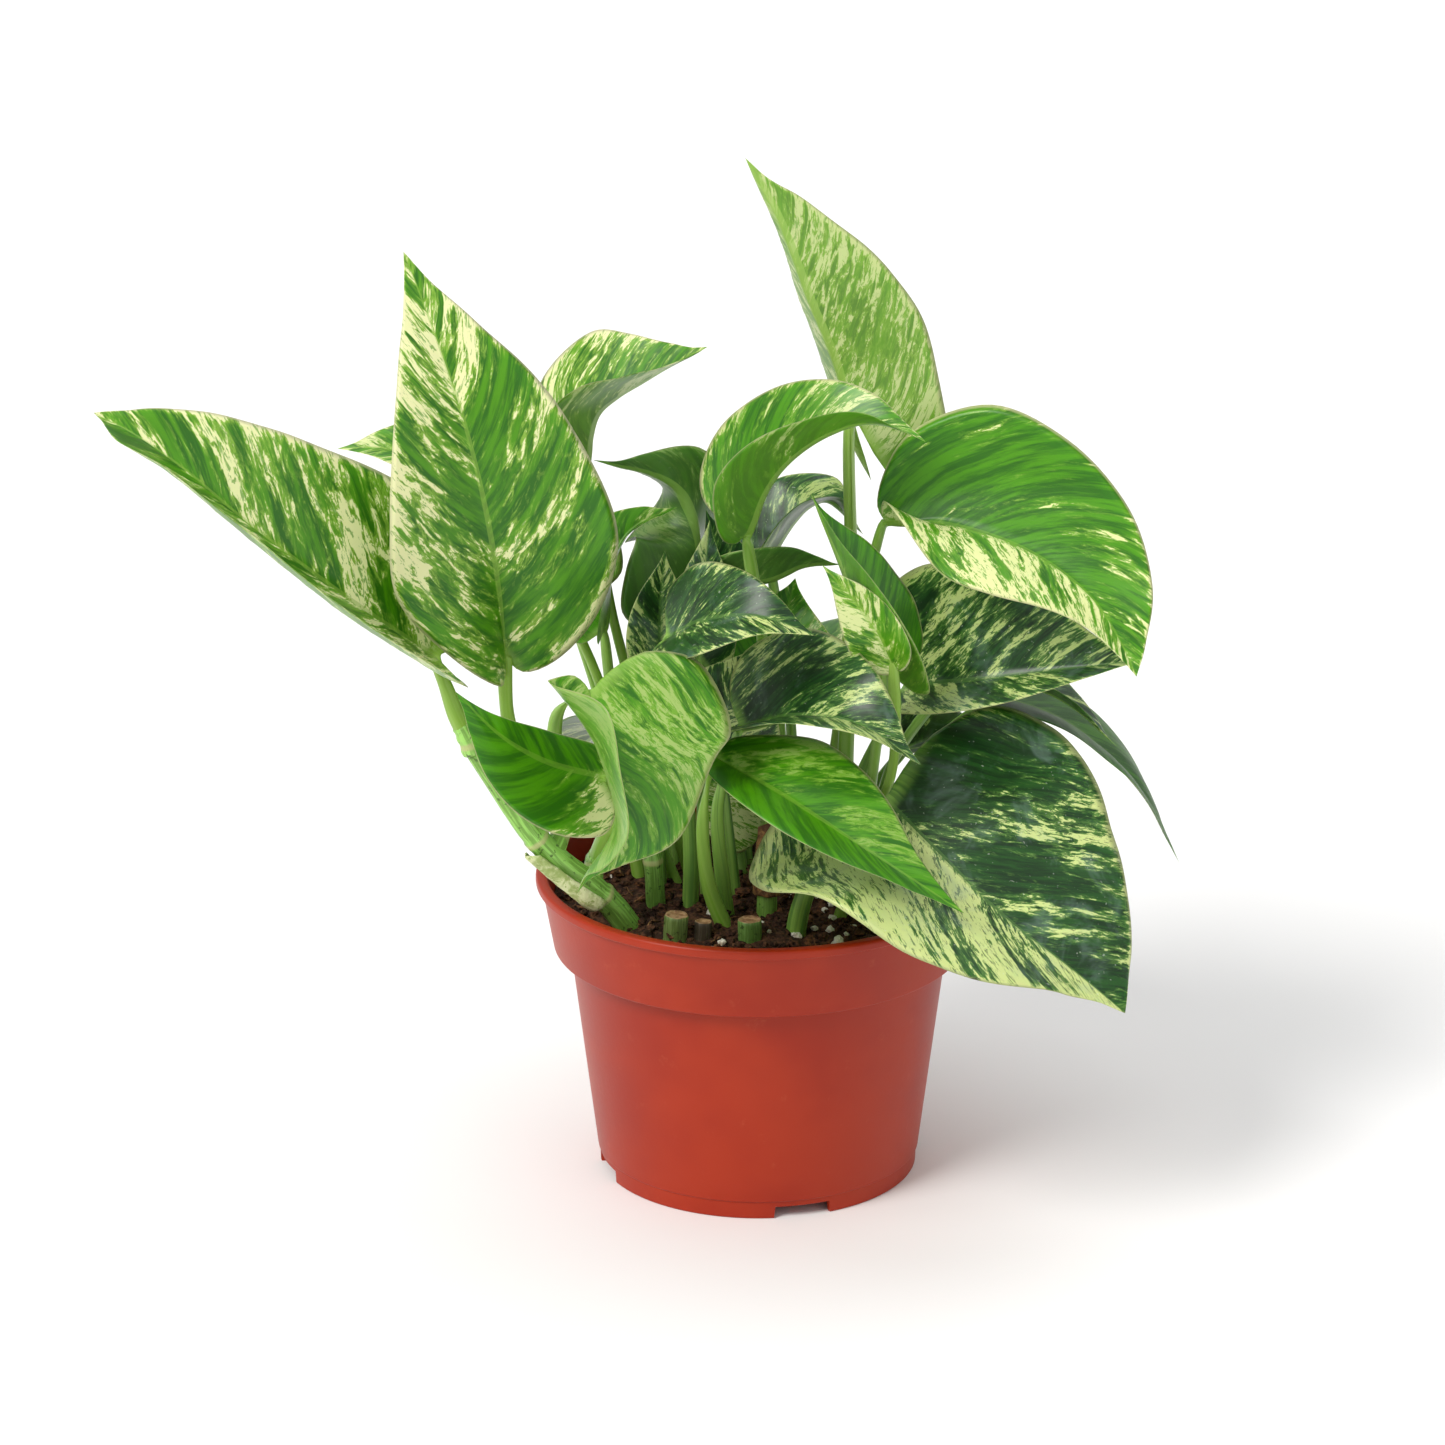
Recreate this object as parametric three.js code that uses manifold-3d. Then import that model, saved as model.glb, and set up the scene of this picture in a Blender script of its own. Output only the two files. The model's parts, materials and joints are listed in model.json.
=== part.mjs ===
// A marble-leaved pothos in a round plastic nursery pot.
// Millimetres, +Z up. The plant is modelled about the pot's axis with the pot standing on z = 0,
// and the whole group is then moved so that its bounding box is centred over the origin.
import * as THREE from "three";
import { mergeVertices } from "three/addons/utils/BufferGeometryUtils.js";
import Module from "manifold-3d";

const wasm = await Module();
wasm.setup();

// ---- Driving dimensions -------------------------------------------------------------------
const FIT_GAP = 0.3; // between pieces that touch
const SOCKET_GAP = 0.7; // round a planted stem, which has flat sides

const POT = {
  height: 76.5,
  rimRadius: 55, // outside of the rolled lip
  lipHeight: 2.4,
  lipReach: 1.4, // how far the lip stands out from the collar
  collarTaper: 3, // how much narrower the collar is at its lower end
  collarHeight: 18.9,
  ledge: 4, // from the collar in to the body
  bodyTaper: 7.2, // from the body's top in to the foot ring's outside at the ground
  footRingHeight: 4.4,
  footStep: 0.6, // how far the foot ring stands in from the body
  wall: 1.4,
  floorUnderside: 3.4, // above the ground
  floorThickness: 1.6,
  segments: 64,
};
const NOTCH = { count: 4, width: 14.5, height: 3.1, firstAngle: -74 }; // in the foot ring
const DRAIN = { count: 6, radius: 3.4, pitchRadius: 24, sides: 16 };

const SOIL = {
  belowRim: 7.5, // at the wall
  crown: 2.5, // how much higher the middle stands
  bump: 0.7,
  rings: 5,
  segments: 32,
};
const ROOT_DEPTH = 9; // how far stems and petioles are planted
const STEM_TIP = 0.6; // height of the low cone that ends each stem

const LEAF = {
  thickness: 0.7,
  keel: 1.1, // how far the midrib stands out below the blade at its base
  groove: 0.2, // how far it is sunk into the upper face
  petioleRadius: 2.1, // at the root
  petioleNeck: 1.25, // just below the blade
  channel: 0.3, // depth of the petiole's upper channel, as a share of its radius
  knee: 4, // straight end of the petiole below the blade
  lobe: 0.13, // how far the basal lobes reach back, as a share of the blade's length
};

// The rows across a blade: [where it meets the midrib, where it meets the edge, half width].
// The first two are shares of the blade's length, the third a share of its greatest half width.
const BLADE_ROWS = [
  [0.0, -0.4, 0.1],
  [0.03, -1.0, 0.46],
  [0.09, -0.7, 0.82],
  [0.18, 0.07, 0.98],
  [0.31, 0.25, 1.0],
  [0.45, 0.44, 0.88],
  [0.6, 0.63, 0.62],
  [0.74, 0.79, 0.31],
  [0.88, 0.91, 0.1],
];
const HALF_COLUMNS = [0, 0.36, 0.7, 1]; // stations across each half of the blade
const ROLL_BY_ROW = [0.6, 1, 1, 0.5]; // share of a leaf's basal roll in its first rows
const RING = 4 * (HALF_COLUMNS.length - 1); // points round each ring of a leaf

// ---- Colours ------------------------------------------------------------------------------
const TERRACOTTA = 0xb8402a;
const SOIL_BROWN = 0x3a2218;
const PERLITE_WHITE = 0xdcd8c8;
const YOUNG = 0x5f9a3a;
const CREAM_MARBLED = 0x93b766;
const OLD = 0x2f5136;
const SHADED = 0x5a7f45;
const STEM_GREEN = 0x7fa050;
const CUT_BROWN = 0x8b6a4a;
const PALE_SHEATH = 0xb9b98a;

const v3 = (p) => new THREE.Vector3(...p);
const radians = THREE.MathUtils.degToRad;
const pair = (value, fallback) => (Array.isArray(value) ? value : [value ?? fallback, value ?? fallback]);

function smoothstep(a, b, x) {
  const t = Math.min(1, Math.max(0, (x - a) / (b - a)));
  return t * t * (3 - 2 * t);
}

// ---- Lofted bodies --------------------------------------------------------------------------
// Rings of equally many points between two end points make one closed body. The quads of the
// first half of a ring are split one way and those of the second half the other way.
function loft(start, rings, end) {
  const n = rings[0].length;
  const points = [start, ...rings.flat(), end];
  const at = (r, k) => 1 + r * n + (k % n);
  const last = points.length - 1;
  const faces = [];
  for (let k = 0; k < n; k++) {
    faces.push(0, at(0, k + 1), at(0, k));
    faces.push(last, at(rings.length - 1, k), at(rings.length - 1, k + 1));
  }
  for (let r = 0; r + 1 < rings.length; r++) {
    for (let k = 0; k < n; k++) {
      const [a, b, c, d] = [at(r, k), at(r, k + 1), at(r + 1, k + 1), at(r + 1, k)];
      if (k < n / 2) faces.push(a, b, c, a, c, d);
      else faces.push(a, b, d, b, c, d);
    }
  }
  const geometry = new THREE.BufferGeometry();
  const flat = points.flatMap((p) => [p.x, p.y, p.z]);
  geometry.setAttribute("position", new THREE.Float32BufferAttribute(flat, 3));
  geometry.setIndex(faces);
  return geometry;
}

// A smooth line through points, with its tangent and an upward direction carried along it.
function spine(points, ups) {
  const curve = new THREE.CatmullRomCurve3(points.map(v3), false, "centripetal");
  const length = curve.getLength();
  return {
    length,
    at(t) {
      const u = Math.min(1, Math.max(0, t));
      const point = curve.getPointAt(u);
      const tangent = curve.getTangentAt(u);
      const up = v3(ups[0]).normalize().lerp(v3(ups[1]).normalize(), u);
      up.addScaledVector(tangent, -up.dot(tangent)).normalize();
      const side = new THREE.Vector3().crossVectors(tangent, up);
      return { point, tangent, up, side };
    },
  };
}

// A round stem with a conical end at each side; radii are given along it.
function stemGeometry(path, radii, sides = 8, tip = 0.6, grow = 0) {
  const line = spine(path, [[0.3, -1, 0.1], [0.3, -1, 0.1]]);
  const count = Math.max(3, Math.round(line.length / 9) + 1);
  const rings = [];
  for (let i = 0; i < count; i++) {
    const t = i / (count - 1);
    const f = line.at(t);
    const s = t * (radii.length - 1);
    const j = Math.min(radii.length - 2, Math.floor(s));
    const radius = radii[j] + (radii[j + 1] - radii[j]) * (s - j) + grow;
    const ring = [];
    for (let k = 0; k < sides; k++) {
      const a = (2 * Math.PI * k) / sides;
      ring.push(
        f.point
          .clone()
          .addScaledVector(f.up, radius * Math.cos(a))
          .addScaledVector(f.side, radius * Math.sin(a)),
      );
    }
    rings.push(ring);
  }
  const first = line.at(0);
  const final = line.at(1);
  const start = first.point.clone().addScaledVector(first.tangent, -tip - grow);
  const end = final.point.clone().addScaledVector(final.tangent, tip + grow);
  return loft(start, rings, end);
}

// ---- Leaves -------------------------------------------------------------------------------
// petiole: points from the root towards the blade; midrib: points from the blade's base to its
// tip; face: the direction the upper side looks at the base and at the tip; width: greatest half
// width; fold: how far each half is raised about the midrib, in degrees, left and right of
// someone looking along the leaf from its base; curl: how far each half goes on bending towards
// its edge; roll: the same for the basal lobes alone; lobe: reach of the basal lobes; full: how
// full the blade stays towards its tip; neck: share of the midrib over which a half widens.
const PETIOLE_STATIONS = [0, 0.3, 0.62, 1];

function petioleFrames(leaf) {
  const base = v3(leaf.midrib[0]);
  const direction = v3(leaf.midrib[1]).sub(base).normalize();
  const below = v3(leaf.petiole.at(-1));
  const knee = base.clone().sub(
    direction.lerp(base.clone().sub(below).normalize(), 0.55).normalize().multiplyScalar(LEAF.knee),
  );
  const path = [...leaf.petiole, knee.toArray(), leaf.midrib[0]];
  return spine(path, [leaf.face[0], leaf.face[0]]);
}

function petioleRing(frame, radius, channel) {
  const ring = [];
  for (let k = 0; k < RING; k++) {
    const a = (2 * Math.PI * k) / RING;
    const c = Math.cos(a);
    const rise = c > 0 ? c * (1 - channel * c ** 4) : c;
    ring.push(
      frame.point
        .clone()
        .addScaledVector(frame.up, radius * rise)
        .addScaledVector(frame.side, radius * Math.sin(a)),
    );
  }
  return ring;
}

function bladeRing(line, leaf, row, index) {
  const [atMidrib, atEdgeShare, share] = row;
  const root = 1 - smoothstep(0.02, 0.75, atMidrib);
  const top = [];
  const bottom = [];
  const station = (sign, a) => {
    const side = sign < 0 ? 0 : 1;
    const lobe = pair(leaf.lobe, LEAF.lobe)[side];
    const full = pair(leaf.full, 1)[side];
    const atEdge = atEdgeShare < 0 ? atEdgeShare * lobe : atEdgeShare;
    const neck = pair(leaf.neck, 0)[side];
    const widened = neck ? smoothstep(-0.35 * neck, neck, atMidrib) : 1;
    const half = pair(leaf.width)[side] * (atMidrib > 0.3 ? share ** (1 / full) : share) * widened;
    const t = atMidrib + (atEdge - atMidrib) * a ** 1.25;
    const f = line.at(Math.max(0, t));
    const back = Math.min(0, t) * line.length;
    const rolled = radians(pair(leaf.roll, 0)[side]) * (ROLL_BY_ROW[index] ?? 0);
    const flatter = 1 - 0.35 * smoothstep(0.6, 1, atMidrib);
    const fold = radians(leaf.fold[side]) * flatter + rolled / 2;
    const curl = radians(pair(leaf.curl, 0)[side]) + rolled / 2;
    // the half blade bends evenly from the midrib to its edge
    let y = 0;
    let z = 0;
    const steps = 6;
    for (let i = 0; i < steps; i++) {
      const angle = fold + (curl * a * (i + 0.5)) / steps;
      y += ((a * half) / steps) * Math.cos(angle);
      z += ((a * half) / steps) * Math.sin(angle);
    }
    const angle = fold + curl * a;
    const normal = f.up
      .clone()
      .multiplyScalar(Math.cos(angle))
      .addScaledVector(f.side, -sign * Math.sin(angle));
    const point = f.point
      .clone()
      .addScaledVector(f.tangent, back)
      .addScaledVector(f.side, sign * y)
      .addScaledVector(f.up, z);
    return { point, normal: a === 0 ? f.up.clone() : normal };
  };
  const width = HALF_COLUMNS.length - 1;
  for (const sign of [1, -1]) {
    for (let i = 0; i < width; i++) {
      const { point, normal } = station(sign, HALF_COLUMNS[i]);
      const thick = LEAF.thickness * (0.55 + 0.45 * root);
      const upper = i === 0 ? thick / 2 - LEAF.groove * root : thick / 2;
      const lower = i === 0 ? thick / 2 + LEAF.keel * root : thick / 2;
      if (i === 0 && sign < 0) continue;
      top.push({ key: sign * i, point: point.clone().addScaledVector(normal, upper) });
      bottom.push({ key: sign * i, point: point.clone().addScaledVector(normal, -lower) });
    }
  }
  const pick = (list, key) => list.find((entry) => entry.key === key).point;
  const ring = [];
  for (let i = 0; i < width; i++) ring.push(pick(top, i));
  ring.push(station(1, 1).point);
  for (let i = width - 1; i > 0; i--) ring.push(pick(bottom, i));
  for (let i = 0; i < width; i++) ring.push(pick(bottom, -i));
  ring.push(station(-1, 1).point);
  for (let i = width - 1; i > 0; i--) ring.push(pick(top, -i));
  return ring;
}

function leafGeometry(leaf) {
  const stalk = petioleFrames(leaf);
  const blade = spine(leaf.midrib, leaf.face);
  const thick = leaf.stalk ?? 1;
  const rings = PETIOLE_STATIONS.map((t, i) => {
    const neck = smoothstep(0, 1, t);
    const radius = LEAF.petioleRadius + (LEAF.petioleNeck - LEAF.petioleRadius) * neck;
    const short = i === PETIOLE_STATIONS.length - 1 ? 1 - 1.5 / stalk.length : t;
    return petioleRing(stalk.at(short), radius * thick, LEAF.channel * t);
  });
  BLADE_ROWS.forEach((row, i) => rings.push(bladeRing(blade, leaf, row, i)));
  const root = stalk.at(0);
  const start = root.point.clone().addScaledVector(root.tangent, -0.8);
  const end = blade.at(1).point;
  return loft(start, rings, end);
}

// The room a planted petiole needs in the soil.
function petioleRoom(leaf) {
  const radius = LEAF.petioleRadius * (leaf.stalk ?? 1);
  return stemGeometry(leaf.petiole, [radius, radius], 12, 0.8, SOCKET_GAP);
}

// The plant's points are given for a pot of these two sizes. In a pot of others the whole plant
// stands higher or lower with the soil, its roots draw in or spread with the rim, and the vine that
// leans on the rim moves out with it, in one piece with its leaves.
const GROWN_IN = { soilEdge: 69, rimRadius: 55 };
const spread = () => POT.rimRadius / GROWN_IN.rimRadius;
const lift = () => soilEdge - GROWN_IN.soilEdge;
const planted = (x, y) => Object.assign([x, y], { planted: true });

function moved(points, [x, y] = [0, 0]) {
  const [dx, dy] = [(spread() - 1) * x, (spread() - 1) * y];
  return points.map((p) => {
    if (!p.planted) return [p[0] + dx, p[1] + dy, p[2] + lift()];
    const [px, py] = [p[0] * spread(), p[1] * spread()];
    return [px, py, soilHeight(px, py) - ROOT_DEPTH];
  });
}

const movedLeaf = (leaf) => ({
  ...leaf,
  petiole: moved(leaf.petiole, leaf.rides),
  midrib: moved(leaf.midrib, leaf.rides),
});

// ---- Pot and soil ---------------------------------------------------------------------------
function solid(geometry) {
  const bare = new THREE.BufferGeometry();
  bare.setAttribute("position", geometry.getAttribute("position"));
  bare.setIndex(geometry.getIndex());
  const merged = mergeVertices(bare, 1e-4);
  return new wasm.Manifold(
    new wasm.Mesh({
      numProp: 3,
      vertProperties: merged.attributes.position.array,
      triVerts: new Uint32Array(merged.index.array),
    }),
  );
}

function fromSolid(body) {
  const m = body.getMesh();
  const geometry = new THREE.BufferGeometry();
  geometry.setAttribute("position", new THREE.BufferAttribute(m.vertProperties, 3));
  geometry.setIndex(new THREE.BufferAttribute(m.triVerts, 1));
  return geometry;
}

const cut = (body, tools) => tools.reduce((left, tool) => left.subtract(solid(tool)), body);

// A profile of [radius, z] that starts and ends on the axis, turned about it.
function turned(profile, segments) {
  const outline = profile.map(([radius, z]) => new THREE.Vector2(radius, z));
  return new THREE.LatheGeometry(outline, segments).rotateX(Math.PI / 2);
}

const collarTop = POT.rimRadius - POT.lipReach;
const collarBottom = collarTop - POT.collarTaper;
const bodyTop = collarBottom - POT.ledge;
const footRadius = bodyTop - POT.bodyTaper;
const collarZ = POT.height - POT.collarHeight;
const floorTop = POT.floorUnderside + POT.floorThickness;
const bodyRadius = (z) =>
  footRadius +
  POT.footStep +
  ((bodyTop - footRadius - POT.footStep) * (z - POT.footRingHeight)) /
    (collarZ - POT.footRingHeight);
const collarRadius = (z) =>
  collarBottom +
  ((collarTop - collarBottom) * (z - collarZ)) / (POT.collarHeight - POT.lipHeight);
const innerRadius = (z) => (z > collarZ ? collarRadius(z) : bodyRadius(z)) - POT.wall;

function potGeometry() {
  const inFoot = footRadius - 1.6;
  const lipZ = POT.height - POT.lipHeight;
  const profile = [
    [0, POT.floorUnderside],
    [inFoot, POT.floorUnderside],
    [inFoot, 0],
    [footRadius - 0.4, 0],
    [footRadius, 0.5],
    [footRadius + 0.1, POT.footRingHeight],
    [bodyRadius(POT.footRingHeight), POT.footRingHeight + 0.3],
    [bodyTop, collarZ - 0.4],
    [collarBottom - 0.6, collarZ],
    [collarBottom, collarZ + 0.7],
    [collarTop, lipZ - 0.2],
    [POT.rimRadius - 0.5, lipZ],
    [POT.rimRadius, lipZ + 0.6],
    [POT.rimRadius, POT.height - 0.8],
    [POT.rimRadius - 0.8, POT.height],
    [collarTop - POT.wall + 0.6, POT.height],
    [collarTop - POT.wall, POT.height - 0.7],
    [collarBottom - POT.wall, collarZ + POT.wall],
    [bodyTop - POT.wall, collarZ - 1],
    [bodyRadius(floorTop + 1) - POT.wall, floorTop + 1],
    [bodyRadius(floorTop + 1) - POT.wall - 1, floorTop],
    [0, floorTop],
  ];
  const tools = [];
  for (let i = 0; i < NOTCH.count; i++) {
    const a = radians(NOTCH.firstAngle + (360 * i) / NOTCH.count);
    const notch = new THREE.BoxGeometry(12, NOTCH.width, NOTCH.height + 1);
    notch.translate(footRadius, 0, (NOTCH.height - 1) / 2);
    tools.push(notch.rotateZ(a));
  }
  for (let i = 0; i < DRAIN.count; i++) {
    const a = (2 * Math.PI * i) / DRAIN.count;
    const hole = new THREE.CylinderGeometry(DRAIN.radius, DRAIN.radius, 12, DRAIN.sides);
    hole.rotateX(Math.PI / 2);
    hole.translate(DRAIN.pitchRadius * Math.cos(a), DRAIN.pitchRadius * Math.sin(a), floorTop - 1);
    tools.push(hole);
  }
  return fromSolid(cut(solid(turned(profile, POT.segments)), tools));
}

const soilEdge = POT.height - SOIL.belowRim;
function soilHeight(x, y) {
  const edge = innerRadius(soilEdge);
  const inward = 1 - Math.min(1, Math.hypot(x, y) / edge) ** 2;
  const lumps =
    Math.sin(0.23 * x + 1.1) * Math.cos(0.19 * y - 0.4) + 0.6 * Math.sin(0.41 * y + 0.31 * x);
  return soilEdge + SOIL.crown * inward + SOIL.bump * lumps;
}

function soilBody(tools) {
  const foot = floorTop + 1 + FIT_GAP;
  const wall = (z) => innerRadius(z) - FIT_GAP;
  const count = SOIL.segments;
  const ring = (radius, height) =>
    Array.from({ length: count }, (_, k) => {
      const a = (2 * Math.PI * (k + 0.5)) / count;
      const [x, y] = [radius * Math.cos(a), radius * Math.sin(a)];
      return new THREE.Vector3(x, y, height ?? soilHeight(x, y));
    });
  const rings = [ring(wall(foot) - 1.6, floorTop + FIT_GAP), ring(wall(foot) - 0.2, foot + 0.4)];
  rings.push(ring(wall(collarZ - 1), collarZ - 0.55));
  rings.push(ring(collarBottom - POT.wall - FIT_GAP, collarZ + POT.wall + 0.4));
  const edge = wall(soilEdge - 1.5) - 0.2;
  for (let i = SOIL.rings; i > 0; i--) rings.push(ring((edge * i) / SOIL.rings));
  const start = new THREE.Vector3(0, 0, floorTop + FIT_GAP);
  const end = new THREE.Vector3(0, 0, soilHeight(0, 0));
  return cut(solid(loft(start, rings, end)), tools);
}

// An angular grain lying on the soil bed.
function grainGeometry(bed, place, size, turn) {
  const [x, y] = place.map((c) => c * spread());
  const grain = new THREE.IcosahedronGeometry(1, 0);
  grain.deleteAttribute("uv");
  grain.deleteAttribute("normal");
  const body = mergeVertices(grain, 1e-4);
  body.scale(size, size * 0.8, size * 0.66);
  body.rotateX(0.4 * turn);
  body.rotateZ(turn);
  body.computeBoundingBox();
  const beneath = wasm.Manifold.cylinder(40, size, size, 12).translate([x, y, soilEdge - 20]);
  const ground = bed.intersect(beneath).boundingBox().max[2];
  body.translate(x, y, ground + FIT_GAP - body.boundingBox.min.z);
  return body;
}

// A papery sheath: part of a tube about a line.
function sheathGeometry(path, radii, arc, facing, thickness = 0.6) {
  const line = spine(path, [facing, facing]);
  const rings = [];
  const half = RING / 2;
  const stations = 5;
  for (let i = 0; i < stations; i++) {
    const t = i / (stations - 1);
    const f = line.at(t);
    const radius = radii[0] + (radii[1] - radii[0]) * t;
    const spread = radians(arc * (1 - 0.35 * t));
    const ring = [];
    for (let k = 0; k < RING; k++) {
      const outer = k < half;
      const s = outer ? k / (half - 1) : (RING - 1 - k) / (half - 1);
      const a = spread * (s - 0.5);
      const r = outer ? radius + thickness : radius;
      ring.push(
        f.point
          .clone()
          .addScaledVector(f.up, r * Math.cos(a))
          .addScaledVector(f.side, r * Math.sin(a)),
      );
    }
    rings.push(ring);
  }
  const cap = (f, radius, along) =>
    f.point
      .clone()
      .addScaledVector(f.up, radius + thickness / 2)
      .addScaledVector(f.tangent, along);
  return loft(cap(line.at(0), radii[0], -0.4), rings, cap(line.at(1), radii[1], 1.6));
}

// ---- The plant ------------------------------------------------------------------------------
const VINE = [planted(-27, -17), [-37, -24, 77.5], [-52, -31, 94], [-68, -37, 121]];
const VINE_AT = [-52, -31]; // where the vine passes the rim

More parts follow.
